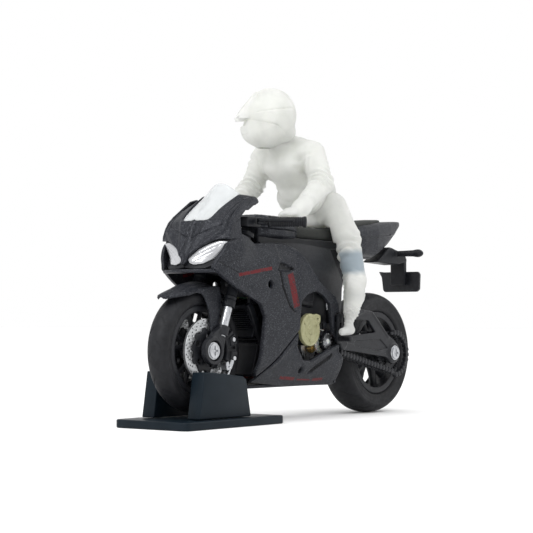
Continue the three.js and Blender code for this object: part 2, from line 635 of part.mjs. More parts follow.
add("belly_pan_left", bellyPan, M.paint);
add("belly_pan_right", cut(mirror(bellyPan), box(-10.4, -5.6, -3.6, -2.0, 9, 11)), M.paint);
add("power_switch", union(box(-9.8, -6.2, -4.2, -1.4, 10.6, 12.4), box(-8.9, -7.1, -3.3, -2.3, 9.0, 10.8)), M.black);

const cowlHalf = [
  [0, 42.4], [0.9, 43.2], [1.2, 44.8], [3.6, 47.3], [6.2, 48.5], [8.8, 49.3], [11.4, 49.5], [11.7, 50.8], [11.5, 53.5],
  [10.8, 57], [9.9, 59.6], [9.3, 60.8], [8.6, 61.4], [6.1, 62], [5.9, 61], [5.35, 58.2], [4.8, 55.2], [4.3, 54.6], [0, 54.7],
];
const cowlCheek = acrossY(
  [[41.2, 50.2], [41.3, 50.8], [40.6, 53], [38.4, 56], [35.0, 58.5], [32.4, 60.4], [30.2, 61.0], [29.7, 60.2], [32.9, 58.2],
    [35.5, 56.2], [36, 53.4], [36.1, 51.5], [38.2, 50.9]],
  9.8, 10.9,
);
const chin = upZ(
  mirrored([[0, 48], [3, 47.6], [6.2, 46.2], [7.8, 44.9], [7.6, 42.8], [5, 43.5], [0, 44.4]]).map(([y, x]) => [x, y]),
  40.4, 41.7,
);
add("upper_cowl", union(
  nosePanel(mirrored(cowlHalf), 1.7),
  nosePanel(mirrored([[0, 41.2], [4, 41.5], [8, 42.9], [10.4, 46], [10.7, 49], [10.4, 53.6], [0, 54.2]]), 0.9, 1.5),
  cowlCheek, mirror(cowlCheek), chin,
), M.paint);
const lampShape = [
  [1.4, 44.0], [1.9, 43.1], [3.2, 42.6], [5.6, 42.9], [7.8, 44.4], [10, 47], [11, 48.6], [8.7, 48.7], [6.3, 48], [3.9, 46.8],
  [1.6, 44.7],
];
addPair("headlight", nosePanel(lampShape, 1.0, 0.1), M.lamp);
add("windscreen", nosePanel(
  mirrored([[0, 55], [3.1, 54.95], [4.1, 55.3], [4.6, 56.6], [5.1, 59], [5.5, 61.3], [5.3, 62.3], [4.2, 63.3], [2, 64.9], [0, 65.2]]), 0.6,
), M.screen);
add("dash_panel", upZ(
  mirrored([[0, 32], [4.5, 31.4], [7.9, 29.2], [8.1, 24.5], [7.2, 22.2], [0, 22.2]]).map(([y, x]) => [x, y]), 53.3, 56,
), M.black);
add("tank_cover", loft([
  section(21.6, 5.4, 50, 55.6), section(18.5, 7.2, 49.9, 57.4), section(12, 7.8, 49.9, 57.3),
  section(6, 6.6, 49.9, 56.4), section(1.7, 4.2, 50.6, 55.4),
]), M.paint);
const seatRings = (grow) => [
  section(1.2 + grow, 3.4 + grow, 51.2 - grow, 55 + grow), section(-8, 4.7 + grow, 50.6 - grow, 54.8 + grow),
  section(-19, 5.2 + grow, 50.6 - grow, 55.3 + grow), section(-26, 4.6 + grow, 54.2 - grow, 57.4 + grow),
  section(-36, 4.0 + grow, 56.2 - grow, 58.5 + grow), section(-43.5 - grow, 2.2 + grow, 57.6 - grow, 58.9 + grow),
];
add("rider_seat", loft(seatRings(0)), M.seat);
const tailShell = loft([
  section(-20.6, 5.3, 49.6, 54.6), section(-26, 6.0, 47.9, 56), section(-31, 6.2, 46.7, 57), section(-38, 5.8, 46.6, 57.7),
  section(-43, 4.8, 48.6, 58.2), section(-47.8, 3.7, 51.4, 58.5), section(-53, 2.2, 55.2, 58.8), section(-56.8, 0.8, 57.4, 58.9),
]);
add("tail_cowl", cut(tailShell, loft(seatRings(GAP)), box(-36, -19, -3.9, 3.9, 47.2, 53.2)), M.paint);
const bracketArm = acrossY([[-41, 45.8], [-45, 48.3], [-48.2, 50.7], [-50.2, 50.4], [-57.6, 48.2], [-58.2, 46.4], [-53, 45.2]], -2.9, 2.9);
const neck = box(-58.2, -56.6, -2.9, 2.9, 39, 47.4);
const indicator = (s) => limb([-52.2, 2.4 * s, 48.7], 1.1, [-55.0, 9.2 * s, 48.8], 1.3, 10);
add("plate_bracket", union(bracketArm, neck, indicator(1), indicator(-1)), M.black);
add("number_plate", alongX(
  [[-6.6, 37.6], [-6, 36.9], [6, 36.9], [6.8, 37.6], [7, 42.4], [6.4, 43.2], [-6.4, 43.2], [-8.2, 43.4], [-7.1, 41.6]],
  -59.5, -58.5,
), M.satin);

// ---- controls -----------------------------------------------------------------------
const GRIP = { from: [23.8, 11.4, 54.7], to: [17.7, 18.2, 54.7] };
const handlebar = union(
  bar([26.0, 9.0, 54.7], GRIP.to, 0.8),
  bar(GRIP.from, GRIP.to, 1.35),
  bar([26.6, 10.0, 55.2], [21.6, 17.6, 55.0], 0.45, 0.45, 8),
  bar([25.9, 9.0, 54.9], [26.9, 10.4, 55.2], 0.7, 0.7, 10),
);
addPair("handlebar", handlebar, M.black);
const footpeg = union(
  acrossY([[-10.9, 29.8], [-8.1, 29.8], [-7.6, 22.0], [-10.2, 21.6]], 10.75, 11.4),
  rodY(-9.5, 28.5, 1.1, 7.9, 11, 16),
  rodY(-8.9, 22.7, 0.8, 11.2, 15.4, 14),
);
addPair("footpeg", footpeg, M.black);
add("exhaust_silencer", union(
  bar([-17, -11.4, 19.4], [-34, -11.4, 26.2], 2.1, 2.5, 24),
  bar([-9.6, -10.85, 15.6], [-17.6, -11.4, 19.6], 0.9, 1.1, 14),
), M.satin);

// ---- rider --------------------------------------------------------------------------
const HEAD = { x: 9, z: 86, turn: -42 };
const clearOfBike = union(
  box(-60, 30, -8.3, 8.3, 10, 50.4),
  box(-60, 2.4, -6.6, 6.6, 45, 57.6),
  box(1.5, 24, -8.3, 8.3, 45, 58),
);
function riderLegs() {
  const leg = union(
    limb([-13.8, 5.2, 61], 4.4, [-15, 9.6, 52], 3.9),
    limb([-15, 9.6, 52], 3.9, [-13.6, 13.6, 39.4], 3.0),
    limb([-13.6, 13.6, 39.4], 3.0, [-12.6, 13.9, 35], 2.9),
    limb([-12.6, 13.9, 35], 2.9, [-10.2, 13.4, 28], 1.75),
    limb([-10.2, 13.4, 28], 1.75, [-9.8, 13.4, 25.4], 1.8),
    limb([-11.4, 13.4, 25.2], 1.5, [-6.8, 13.6, 24.9], 1.3),
  );
  const pelvis = ball([-13.6, 0, 61.5], [6.2, 8.2, 5.2]);
  const whole = union(leg, mirror(leg), pelvis);
  return cut(whole, clearOfBike, box(-14, -4, 10, 16, 20, 23.7), box(-14, -4, -16, -10, 20, 23.7),
    box(-12, -6, -11.75, 11.75, 20, 31));
}
const legs = riderLegs();
add("rider_legs", legs, M.resin);
function riderBody() {
  const arm = (s) => union(
    limb([0.6, 8.6 * s, 75.2], 3.7, [1.6, 12.6 * s, 66.4], 3.0),
    limb([1.6, 12.6 * s, 66.4], 3.0, [13.4, 14.2 * s, 58.8], 2.1),
    limb([13.4, 14.2 * s, 58.8], 2.1, [18.6, 14.6 * s, 56.6], 2.2),
  );
  const torso = union(
    limb([-12.6, 0, 65.4], 6.2, [-1.6, 0, 73.6], 7.4, 10),
    ball([-2.4, 0, 73], [6.8, 9.2, 7.4]),
    limb([0.4, -5.4, 75.2], 4.4, [0.4, 5.4, 75.2], 4.4),
    limb([0.2, 0, 76], 3.8, [5.6, 0, 79], 3.4),
  );
  const grips = [1, -1].map((s) => {
    const p = [26.4, 8.4 * s, 54.7];
    const q = [15.9, 20.2 * s, 54.7];
    const drop = (v) => [v[0], v[1], v[2] - 5];
    const around = [p, q, drop(p), drop(q)].flatMap(([x, y, z]) =>
      arc(0, 0, 1.75, 0, 315, 7).map(([u, w]) => new THREE.Vector3(x + u * 0.75, y + u * 0.66 * s, z + w)));
    return solid(new ConvexGeometry(around));
  });
  const lever = [1, -1].map((s) => limb([28, 9 * s, 55.2], 0.85, [21, 18.4 * s, 55.0], 0.85, 8));
  const waist = ball([-13.6, 0, 61.5], [6.5, 8.5, 5.5]);
  return cut(union(torso, arm(1), arm(-1)), grips, lever, waist, limb([-13.8, 5.2, 61], 4.7, [-15, 9.6, 52], 4.2),
    limb([-13.8, -5.2, 61], 4.7, [-15, -9.6, 52], 4.2));
}
function helmetShape(grow = 0) {
  const dome = ball([0, 0, 0], [7.5 + grow, 6.9 + grow, 7.5 + grow], 16);
  const jaw = limb([1.2, 0, -3.6], 5.6 + grow, [3.6, 0, -3.8], 4.9 + grow, 10);
  return union(dome, jaw).rotate([0, 0, HEAD.turn]).translate([HEAD.x, 0, HEAD.z]);
}
const peak = acrossY([[4.4, 5.6], [10.2, -0.4], [9.9, -1.4], [5.6, -0.2], [3.8, 1.6]], -4.2, 4.2);
const visor = cut(acrossY([[5.2, -1.4], [12, -1.4], [12, -4.6], [5.6, -4.6]], -5.2, 5.2));
const helmet = cut(
  union(helmetShape(), peak.rotate([0, 0, HEAD.turn]).translate([HEAD.x, 0, HEAD.z])),
  visor.rotate([0, 0, HEAD.turn]).translate([HEAD.x, 0, HEAD.z]).intersect(
    cut(box(-30, 40, -30, 30, 60, 100), helmetShape(-0.5))),
);
add("rider_body", cut(riderBody(), helmetShape(GAP)), M.resin);
add("rider_helmet", helmet, M.resin);

export default root;
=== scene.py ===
import json
import math
from contextlib import contextmanager

import bmesh
import bpy
import numpy as np
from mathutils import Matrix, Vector, geometry


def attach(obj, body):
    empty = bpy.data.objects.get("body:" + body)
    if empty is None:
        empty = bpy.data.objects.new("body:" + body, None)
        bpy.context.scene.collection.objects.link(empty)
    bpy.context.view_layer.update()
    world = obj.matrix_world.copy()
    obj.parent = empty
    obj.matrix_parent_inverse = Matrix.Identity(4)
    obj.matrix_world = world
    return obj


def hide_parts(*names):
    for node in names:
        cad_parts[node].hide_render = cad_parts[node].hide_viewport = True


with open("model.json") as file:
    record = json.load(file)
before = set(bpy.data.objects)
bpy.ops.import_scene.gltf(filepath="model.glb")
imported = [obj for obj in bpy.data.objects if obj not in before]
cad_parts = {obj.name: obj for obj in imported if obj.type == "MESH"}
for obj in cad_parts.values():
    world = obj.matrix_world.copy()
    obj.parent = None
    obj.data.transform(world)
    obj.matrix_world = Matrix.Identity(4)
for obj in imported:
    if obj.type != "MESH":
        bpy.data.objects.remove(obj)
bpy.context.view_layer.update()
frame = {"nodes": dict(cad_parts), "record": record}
MM = 0.001

# Places seen from the side, as (x, z) in millimetres.
FRONT, REAR, PIVOT = (42.0, 20.0), (-39.0, 18.2), (-12.6, 21.4)
FRONT_SPROCKET, FLYWHEEL, CLUTCH = (-7.5, 22.0), (7, 14.9), (2.8, 25.3)

# ---- camera ---------------------------------------------------------------------------
LENS = 107.1
EYE = Vector((0.3636, 0.2730, 0.0285))
LOOK = Vector((-0.7906, -0.6115, 0.0328))
camera_data = bpy.data.cameras.new("camera")
camera_data.lens = LENS
camera_data.sensor_width = 36
camera = bpy.data.objects.new("camera", camera_data)
camera.location = EYE
camera.rotation_euler = LOOK.to_track_quat("-Z", "Y").to_euler()
camera_data.clip_start, camera_data.clip_end = 0.01, 20
bpy.context.scene.collection.objects.link(camera)
bpy.context.scene.camera = camera


# ---- materials ------------------------------------------------------------------------
class Nodes:
    """A small helper that wires a node material."""

    def __init__(self, name):
        self.material = bpy.data.materials.new(name)
        self.material.use_nodes = True
        self.tree = self.material.node_tree
        self.shader = self.tree.nodes["Principled BSDF"]
        self.place = self.new("ShaderNodeTexCoord").outputs["Object"]

    def new(self, kind, **values):
        made = self.tree.nodes.new(kind)
        for key, value in values.items():
            setattr(made, key, value)
        return made

    def link(self, a, b):
        self.tree.links.new(a, b)

    def noise(self, scale, detail=3.0, rough=0.55, stretch=(1, 1, 1)):
        mapping = self.new("ShaderNodeMapping")
        mapping.inputs["Scale"].default_value = stretch
        self.link(self.place, mapping.inputs["Vector"])
        made = self.new("ShaderNodeTexNoise")
        made.inputs["Scale"].default_value = scale
        made.inputs["Detail"].default_value = detail
        made.inputs["Roughness"].default_value = rough
        self.link(mapping.outputs["Vector"], made.inputs["Vector"])
        return made.outputs["Fac"]

    def voronoi(self, scale, feature="F1", output="Distance"):
        made = self.new("ShaderNodeTexVoronoi", feature=feature)
        made.inputs["Scale"].default_value = scale
        self.link(self.place, made.inputs["Vector"])
        return made.outputs[output]

    def ramp(self, value, stops):
        made = self.new("ShaderNodeValToRGB")
        made.color_ramp.elements[0].position = stops[0][0]
        made.color_ramp.elements[0].color = (*stops[0][1], 1)
        made.color_ramp.elements[1].position = stops[-1][0]
        made.color_ramp.elements[1].color = (*stops[-1][1], 1)
        for at, color in stops[1:-1]:
            made.color_ramp.elements.new(at).color = (*color, 1)
        self.link(value, made.inputs["Fac"])
        return made.outputs["Color"]

    def spread(self, value, low, high, start=0.3, end=0.7):
        made = self.new("ShaderNodeMapRange")
        for key, number in (("From Min", start), ("From Max", end), ("To Min", low), ("To Max", high)):
            made.inputs[key].default_value = number
        self.link(value, made.inputs["Value"])
        return made.outputs["Result"]

    def math(self, operation, a, b=None, c=None):
        made = self.new("ShaderNodeMath", operation=operation)
        for i, value in enumerate((a, b, c)):
            if value is None:
                continue
            if isinstance(value, (int, float)):
                made.inputs[i].default_value = value
            else:
                self.link(value, made.inputs[i])
        return made.outputs["Value"]

    def times(self, first, *rest):
        for value in rest:
            first = self.math("MULTIPLY", first, value)
        return first

    def size_of(self, value, less=0.0):
        return self.math("ABSOLUTE", self.math("SUBTRACT", value, less) if less else value)

    def tones(self, value, dark, light, low=0.3, high=0.7):
        return self.ramp(value, [(low, dark), (high, light)])

    def mix(self, factor, a, b, blend="MIX"):
        made = self.new("ShaderNodeMix", data_type="RGBA", blend_type=blend)
        for socket, value in (("Factor_Float", factor), ("A_Color", a), ("B_Color", b)):
            into = next(s for s in made.inputs if s.identifier == socket)
            if isinstance(value, tuple):
                into.default_value = (*value, 1)
            elif isinstance(value, (int, float)):
                into.default_value = value
            else:
                self.link(value, into)
        return next(s for s in made.outputs if s.identifier == "Result_Color")

    def axes(self):
        made = self.new("ShaderNodeSeparateXYZ")
        self.link(self.place, made.inputs["Vector"])
        return made.outputs["X"], made.outputs["Y"], made.outputs["Z"]

    def bump(self, height, distance, strength=1.0):
        made = self.new("ShaderNodeBump")
        made.inputs["Strength"].default_value = strength
        made.inputs["Distance"].default_value = distance
        self.link(height, made.inputs["Height"])
        self.link(made.outputs["Normal"], self.shader.inputs["Normal"])

    def set(self, **values):
        for key, value in values.items():
            self.shader.inputs[key.replace("_", " ")].default_value = value

    def color(self, socket):
        self.link(socket, self.shader.inputs["Base Color"])

    def roughness(self, socket):
        self.link(socket, self.shader.inputs["Roughness"])


def plain(name, dark, light, grain, rough, rough_spread=0.06, bump=4e-6, bump_grain=6000, **values):
    """A moulded or cast surface: two close tones in a grain, uneven gloss and a fine relief."""
    n = Nodes(name)
    n.color(n.tones(n.noise(grain, 4), dark, light, 0.32, 0.68))
    n.roughness(n.spread(n.noise(grain * 2.3, 3), rough - rough_spread, rough + rough_spread))
    n.bump(n.noise(bump_grain, 2), bump)
    n.set(**values)
    return n.material


def stripes(n, x, z, lines):
    """A mask that is 1 inside any of the straight bands seen from the side."""
    mask = None
    for (xa, za), (xb, zb), half in lines:
        dx, dz = (xb - xa) * MM, (zb - za) * MM
        length = math.hypot(dx, dz)
        ux, uz = dx / length, dz / length
        rx = n.math("SUBTRACT", x, xa * MM)
        rz = n.math("SUBTRACT", z, za * MM)
        run = n.math("ADD", n.times(rx, ux), n.times(rz, uz))
        off = n.size_of(n.math("SUBTRACT", n.times(rx, uz), n.times(rz, ux)))
        past = n.size_of(run, length / 2)
        inside = n.times(n.math("LESS_THAN", off, half * MM), n.math("LESS_THAN", past, length / 2))
        mask = inside if mask is None else n.math("MAXIMUM", mask, inside)
    return mask


def paint_material():
    """Matte charcoal lacquer with a fine metallic fleck, worn a little, the plain red trim lines and painted
    shade in the recesses.
    """
    n = Nodes("charcoal_paint")
    fleck = n.voronoi(7000, output="Color")
    split = n.new("ShaderNodeSeparateColor")
    n.link(fleck, split.inputs["Color"])
    speck = n.ramp(split.outputs["Red"], [(0.0, (0.0075, 0.0088, 0.0125)), (0.6, (0.0150, 0.0166, 0.0215)),
                                          (0.9, (0.034, 0.036, 0.043)), (1.0, (0.10, 0.105, 0.115))])
    cloud = n.tones(n.noise(260, 4), (0.82, 0.82, 0.84), (1.0, 1.0, 1.0))
    base = n.mix(1.0, speck, cloud, "MULTIPLY")
    x, y, z = n.axes()
    wear = n.noise(1900, 4)
    mask = stripes(n, x, z, TRIM_LINES)
    shadow = stripes(n, x, z, PAINTED_SHADE_LINES)
    flank = n.math("GREATER_THAN", n.size_of(y), 0.0045)
    worn = n.spread(wear, 0.0, 1.0, 0.36, 0.44)
    red = n.tones(n.noise(3000, 3), (0.065, 0.004, 0.006), (0.135, 0.009, 0.012))
    # painted shade: the recess bands on the flanks are darkened to near black
    base = n.mix(n.times(shadow, flank, 0.85), base, (0.004, 0.0042, 0.005))
    n.color(n.mix(n.times(mask, flank, worn), base, red))
    n.roughness(n.spread(split.outputs["Green"], 0.40, 0.56, 0.0, 1.0))
    n.bump(n.noise(5200, 3), 6e-6)
    n.set(Metallic=0.3, Specular_IOR_Level=0.22, Coat_Weight=0.03, Coat_Roughness=0.35)
    return n.material


# Painted shade in the recesses, drawn as bands the same way as the trim below.
PAINTED_SHADE_LINES = [
    ((18.0, 42.6), (16.4, 36.9), 0.34),
    ((16.6, 37.3), (13.2, 31.7), 0.34),
    ((13.5, 32.0), (10.8, 30.3), 0.30),
    ((11.2, 42.3), (17.9, 42.6), 0.42),
    ((14.0, 43.0), (16.8, 43.4), 0.42),
    ((-3.7, 39.4), (-12.8, 43.8), 0.12),
    ((-7.2, 18.2), (0.6, 13.6), 0.55),
    ((35.9, 40.7), (43.6, 43.4), 0.10),
]
# Plain red trim, as (x, z) to (x, z) and half width, in millimetres.
TRIM_LINES = [
    ((35.9, 40.1), (21.3, 42.2), 0.46),
    ((12.9, 40.9), (10.1, 31.7), 1.3),
    ((14.1, 12.2), (7, 11.6), 0.42),
    ((5.6, 11.4), (-1, 11.1), 0.22),
    ((-2.1, 11.1), (-6.9, 11.2), 0.38),
]


def resin_material():
    """Frosted translucent print resin: milky, with fine layer lines and painted shade where the dark tail
    shows through a clear patch.
    """
    n = Nodes("frosted_resin")
    soft = n.noise(230, 4)
    milk = n.tones(soft, (0.64, 0.65, 0.62), (0.75, 0.755, 0.725))
    _, y, z = n.axes()
    # painted shade: the thinner, clearer stretch of each thigh is coloured darker to stand for the dark tail
    # seen through it
    band = n.spread(n.math("ADD", n.size_of(z, 0.0447), n.times(soft, 0.0012)), 1.0, 0.0, 0.0030, 0.0048)
    outer = n.math("GREATER_THAN", n.size_of(y), 0.0098)
    see_through_shade = n.mix(n.times(band, outer, 0.9), milk, (0.27, 0.33, 0.38))
    # a thin shaded line at the top of each boot
    shade = n.times(n.spread(n.size_of(z, 0.0352), 0.42, 0.0, 0.0002, 0.0022), outer)
    n.color(n.mix(shade, see_through_shade, (0.42, 0.43, 0.43)))
    n.roughness(n.spread(n.noise(900, 3), 0.42, 0.6))
    lines = n.new("ShaderNodeTexWave", wave_type="BANDS", bands_direction="Z")
    lines.inputs["Scale"].default_value = 1100
    lines.inputs["Distortion"].default_value = 1.2
    lines.inputs["Detail"].default_value = 2
    n.link(n.place, lines.inputs["Vector"])
    both = n.math("ADD", n.times(lines.outputs["Fac"], 0.35), n.noise(1500, 4))
    n.bump(both, 2.2e-5, 0.8)
    n.set(Subsurface_Weight=0.8, Subsurface_Scale=0.010, Subsurface_Radius=(1.0, 1.0, 0.95), IOR=1.45,
          Transmission_Weight=0.34, Specular_IOR_Level=0.45)
    return n.material


def rubber_material():
    n = Nodes("tyre_rubber")
    n.color(n.tones(n.noise(420, 5), (0.0045, 0.0048, 0.0062), (0.0105, 0.011, 0.0135)))
    n.roughness(n.spread(n.noise(900, 4), 0.50, 0.68))
    n.bump(n.noise(4200, 4), 1.4e-5, 0.8)
    n.set(Specular_IOR_Level=0.24)
    return n.material


def steel_material(name, dark, light, rough, turned_about=None):
    """Brushed or turned metal: fine lines round the axle, or a fine grain where it is None."""
    n = Nodes(name)
    if turned_about:
        x, _, z = n.axes()
        rx = n.math("SUBTRACT", x, turned_about[0] * MM)
        rz = n.math("SUBTRACT", z, turned_about[1] * MM)
        radius = n.math("POWER", n.math("ADD", n.times(rx, rx), n.times(rz, rz)), 0.5)
        grain = n.new("ShaderNodeTexNoise", noise_dimensions="1D")
        grain.inputs["Scale"].default_value = 9000
        grain.inputs["Detail"].default_value = 3
        n.link(radius, grain.inputs["W"])
        value = grain.outputs["Fac"]
    else:
        value = n.noise(2600, 4, stretch=(1, 1, 0.2))
    n.color(n.tones(value, dark, light, 0.25, 0.75))
    n.roughness(n.spread(value, rough - 0.07, rough + 0.1))
    n.bump(value, 3e-6, 0.6)
    n.set(Metallic=0.92)
    return n.material


def seat_material():
    """Olive-grey foam pad: a fine pebbled grain and slow shade changes."""
    n = Nodes("olive_pad")
    pebble = n.voronoi(3600, "SMOOTH_F1")
    foam = n.tones(n.noise(300, 4), (0.018, 0.0195, 0.0195), (0.032, 0.034, 0.033))
    n.color(n.mix(0.35, foam, n.tones(pebble, (0.018, 0.019, 0.017), (0.060, 0.062, 0.055), 0.1)))
    n.roughness(n.spread(pebble, 0.72, 0.9, 0.1, 0.7))
    n.bump(pebble, 3e-5, 0.7)
    n.set(Specular_IOR_Level=0.15, Sheen_Weight=0.05, Sheen_Roughness=0.6)
    return n.material


def screen_material():
    """Clear moulded screen, faintly hazed."""
    n = Nodes("clear_screen")
    n.color(n.tones(n.noise(170, 3), (0.66, 0.68, 0.69), (0.74, 0.76, 0.77)))
    n.roughness(n.spread(n.noise(600, 3), 0.05, 0.14))
    n.bump(n.noise(240, 2), 2.5e-5, 0.5)
    n.set(Transmission_Weight=0.45, IOR=1.3, Specular_IOR_Level=0.5)
    return n.material


def board_material():
    n = Nodes("green_laminate")
    cells = n.voronoi(900, output="Color")
    split = n.new("ShaderNodeSeparateColor")
    n.link(cells, split.inputs["Color"])
    n.color(n.ramp(split.outputs["Red"], [(0.2, (0.010, 0.075, 0.034)), (0.7, (0.018, 0.11, 0.052)),
                                          (0.86, (0.10, 0.14, 0.06)), (1.0, (0.34, 0.30, 0.15))]))
    n.roughness(n.spread(split.outputs["Green"], 0.32, 0.5, 0, 1))
    n.bump(split.outputs["Blue"], 4e-5, 0.5)
    return n.material


MATERIALS = {
    "body_paint": paint_material(),
    "black_plastic": plain("black_moulding", (0.0045, 0.0050, 0.0068), (0.0095, 0.0105, 0.0135), 700, 0.42,
                           bump=1.2e-5, Specular_IOR_Level=0.20),
    "dark_frame": plain("dark_moulding", (0.0085, 0.0092, 0.0115), (0.0165, 0.0175, 0.021), 800, 0.42,
                        bump=1.4e-5, Specular_IOR_Level=0.24),
    "stand_plastic": plain("stand_moulding", (0.0040, 0.0082, 0.0125), (0.0064, 0.0116, 0.0170), 160, 0.38,
                           rough_spread=0.05, bump=5e-6, Specular_IOR_Level=0.12),
    "tyre_rubber": rubber_material(),
    "disc_steel": steel_material("turned_disc", (0.30, 0.31, 0.32), (0.62, 0.63, 0.64), 0.34, FRONT),
    "screw_steel": steel_material("plated_steel", (0.30, 0.31, 0.33), (0.60, 0.61, 0.63), 0.30),
    "engine_cover": plain("khaki_cover", (0.24, 0.235, 0.12), (0.33, 0.32, 0.185), 900, 0.46, bump=1.5e-5,
                          Metallic=0.25),
    "lamp": plain("silver_lens", (0.34, 0.345, 0.36), (0.43, 0.435, 0.45), 160, 0.24, bump=2e-6,
                  Metallic=0.25, Coat_Weight=0.5, Coat_Roughness=0.06),
    "clear_screen": screen_material(),
    "seat_pad": seat_material(),
    "rider_resin": resin_material(),
    "brass": steel_material("turned_brass", (0.42, 0.29, 0.10), (0.66, 0.48, 0.20), 0.28, FLYWHEEL),
    "gear_nylon": plain("white_nylon", (0.74, 0.74, 0.69), (0.84, 0.84, 0.80), 900, 0.5,
                        Subsurface_Weight=0.15, Subsurface_Scale=0.001),
    "circuit_board": board_material(),
    "battery_wrap": plain("shrink_wrap", (0.035, 0.07, 0.16), (0.055, 0.10, 0.22), 500, 0.3, bump=2e-5,
                          bump_grain=900),
}
SLOT_OF = {sub["node"]: sub["material_slot"] for sub in frame["record"]["subparts"]}
BODIES = frame["record"]["behaviour"]["bodies"]
BODY_OF = {member: body for body, members in BODIES.items() for member in members}
for node_name, node in frame["nodes"].items():
    node.data.materials.clear()
    node.data.materials.append(MATERIALS[SLOT_OF[node_name]])


# ---- making pieces --------------------------------------------------------------------
@contextmanager
def editing(mesh):
    """The mesh opened for changes, which are written back at the end."""
    work = bmesh.new()
    work.from_mesh(mesh)
    yield work
    work.to_mesh(mesh)
    work.free()


def finish_piece(mesh, name, node, slot=None, angle=34, others=()):
    """Links a mesh as a piece that stands for a CAD node, with that node's body and finish."""
    for polygon in mesh.polygons:
        polygon.use_smooth = True
    if angle:
        mesh.set_sharp_from_angle(angle=math.radians(angle))
    piece = bpy.data.objects.new(name, mesh)
    bpy.context.scene.collection.objects.link(piece)
    slot = slot or SLOT_OF[node]
    mesh.materials.clear()
    mesh.materials.append(MATERIALS[slot])
    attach(piece, BODY_OF[node])
    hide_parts(node, *others)
    return piece


def mesh_of(name, verts, faces):
    """A mesh from points in millimetres, its faces turned outwards."""
    mesh = bpy.data.meshes.new(name)
    mesh.from_pydata([tuple(c * MM for c in v) for v in verts], [], faces)
    with editing(mesh) as work:
        bmesh.ops.remove_doubles(work, verts=work.verts, dist=2e-6)
        bmesh.ops.recalc_face_normals(work, faces=work.faces)
    return mesh


def baked(mesh, modifiers):
    """The mesh with modifiers applied."""
    holder = bpy.data.objects.new("holder", mesh)
    bpy.context.scene.collection.objects.link(holder)
    for kind, values in modifiers:
        modifier = holder.modifiers.new(kind, kind)
        for key, value in values.items():
            setattr(modifier, key, value)
    seen = holder.evaluated_get(bpy.context.evaluated_depsgraph_get())
    made = bpy.data.meshes.new_from_object(seen)
    bpy.data.objects.remove(holder)
    return made


def joined(name, meshes):
    whole = bmesh.new()
    for mesh in meshes:
        whole.from_mesh(mesh)
    made = bpy.data.meshes.new(name)
    whole.to_mesh(made)
    whole.free()
    return made


def flipped_y(mesh):
    other = mesh.copy()
    with editing(other) as work:
        for v in work.verts:
            v.co.y = -v.co.y
        bmesh.ops.reverse_faces(work, faces=work.faces)
    return other


BEVEL = dict(limit_method="ANGLE", angle_limit=math.radians(28), miter_outer="MITER_ARC",
             use_clamp_overlap=True, harden_normals=False)


def soften(node, width, segments, name=None):
    """A CAD shape with its flat faces merged and its edges rounded as moulding rounds them."""
    mesh = frame["nodes"][node].data.copy()
    with editing(mesh) as work:
        bmesh.ops.remove_doubles(work, verts=work.verts, dist=5e-6)
        bmesh.ops.dissolve_limit(work, angle_limit=math.radians(1.5), verts=work.verts, edges=work.edges)
    mesh = baked(mesh, [("BEVEL", dict(BEVEL, width=width * MM, segments=segments))])
    return finish_piece(mesh, name or node + "_shape", node, angle=32)


def fillet(points, radius, keep=(), arcs=5):
    """A closed outline with its corners rounded, except the ones kept sharp."""
    made = []
    n = len(points)
    for i, p in enumerate(points):
        if i in keep:
            made.append(tuple(p))
            continue
        before, after = points[i - 1], points[(i + 1) % n]
        da, db = math.dist(p, before), math.dist(p, after)
        cut = min(radius, 0.46 * da, 0.46 * db)
        a = [p[k] + (before[k] - p[k]) * cut / da for k in (0, 1)]
        b = [p[k] + (after[k] - p[k]) * cut / db for k in (0, 1)]
        for j in range(arcs + 1):
            t = j / arcs
            made.append(tuple((1 - t) ** 2 * a[k] + 2 * t * (1 - t) * p[k] + t * t * b[k] for k in (0, 1)))
    return made


def on_circle(centre, radius, angle):
    return centre[0] + radius * math.cos(angle), centre[1] + radius * math.sin(angle)


def circle(x, z, radius, n=28):
    return [on_circle((x, z), radius, 2 * math.pi * k / n) for k in range(n)]


def holes(centre, radius, count, start, size, n):
    """A ring of round holes about a centre."""
    return [circle(*on_circle(centre, radius, 2 * math.pi * k / count + start), size,
                   n) for k in range(count)]


def plate(loops, y0, y1, bevel=0.1, turns=2):
    """A flat plate across the bike: side-view loops, the first outside and the rest holes, edges rounded."""
    curve = bpy.data.curves.new("plate", "CURVE")
    curve.dimensions = "2D"
    curve.fill_mode = "BOTH"
    for loop in loops:
        spline = curve.splines.new("POLY")
        spline.points.add(len(loop) - 1)
        for point, (a, b) in zip(spline.points, loop):
            point.co = (a * MM, b * MM, 0, 1)
        spline.use_cyclic_u = True
    bevel = min(bevel, (y1 - y0) * 0.45)
    curve.extrude = ((y1 - y0) / 2 - bevel) * MM
    curve.bevel_depth = bevel * MM
    curve.bevel_resolution = turns
    curve.offset = -bevel * MM
    holder = bpy.data.objects.new("holder", curve)
    bpy.context.scene.collection.objects.link(holder)
    bpy.context.view_layer.update()
    mesh = bpy.data.meshes.new_from_object(holder.evaluated_get(bpy.context.evaluated_depsgraph_get()))
    bpy.data.objects.remove(holder)
    with editing(mesh) as work:
        for v in work.verts:
            v.co = Vector((v.co.x, (y0 + y1) / 2 * MM - v.co.z, v.co.y))
        bmesh.ops.remove_doubles(work, verts=work.verts, dist=1e-6)
        bmesh.ops.recalc_face_normals(work, faces=work.faces)
    return mesh


def turned(profile, centre, n=96, wave=None):
    """A ring about an axle: (radius, offset) points, closed; wave moves a point by angle."""
    verts, faces = [], []
    m = len(profile)
    for i in range(n):
        a = 2 * math.pi * i / n
        for j, (r, y) in enumerate(profile):
            if wave:
                r, y = wave(a, j, r, y)
            verts.append((centre[0] + r * math.cos(a), y, centre[1] + r * math.sin(a)))
    for i in range(n):
        k = (i + 1) % n
        for j in range(m):
            w = (j + 1) % m
            faces.append((i * m + j, i * m + w, k * m + w, k * m + j))
    return mesh_of("turned", verts, faces)


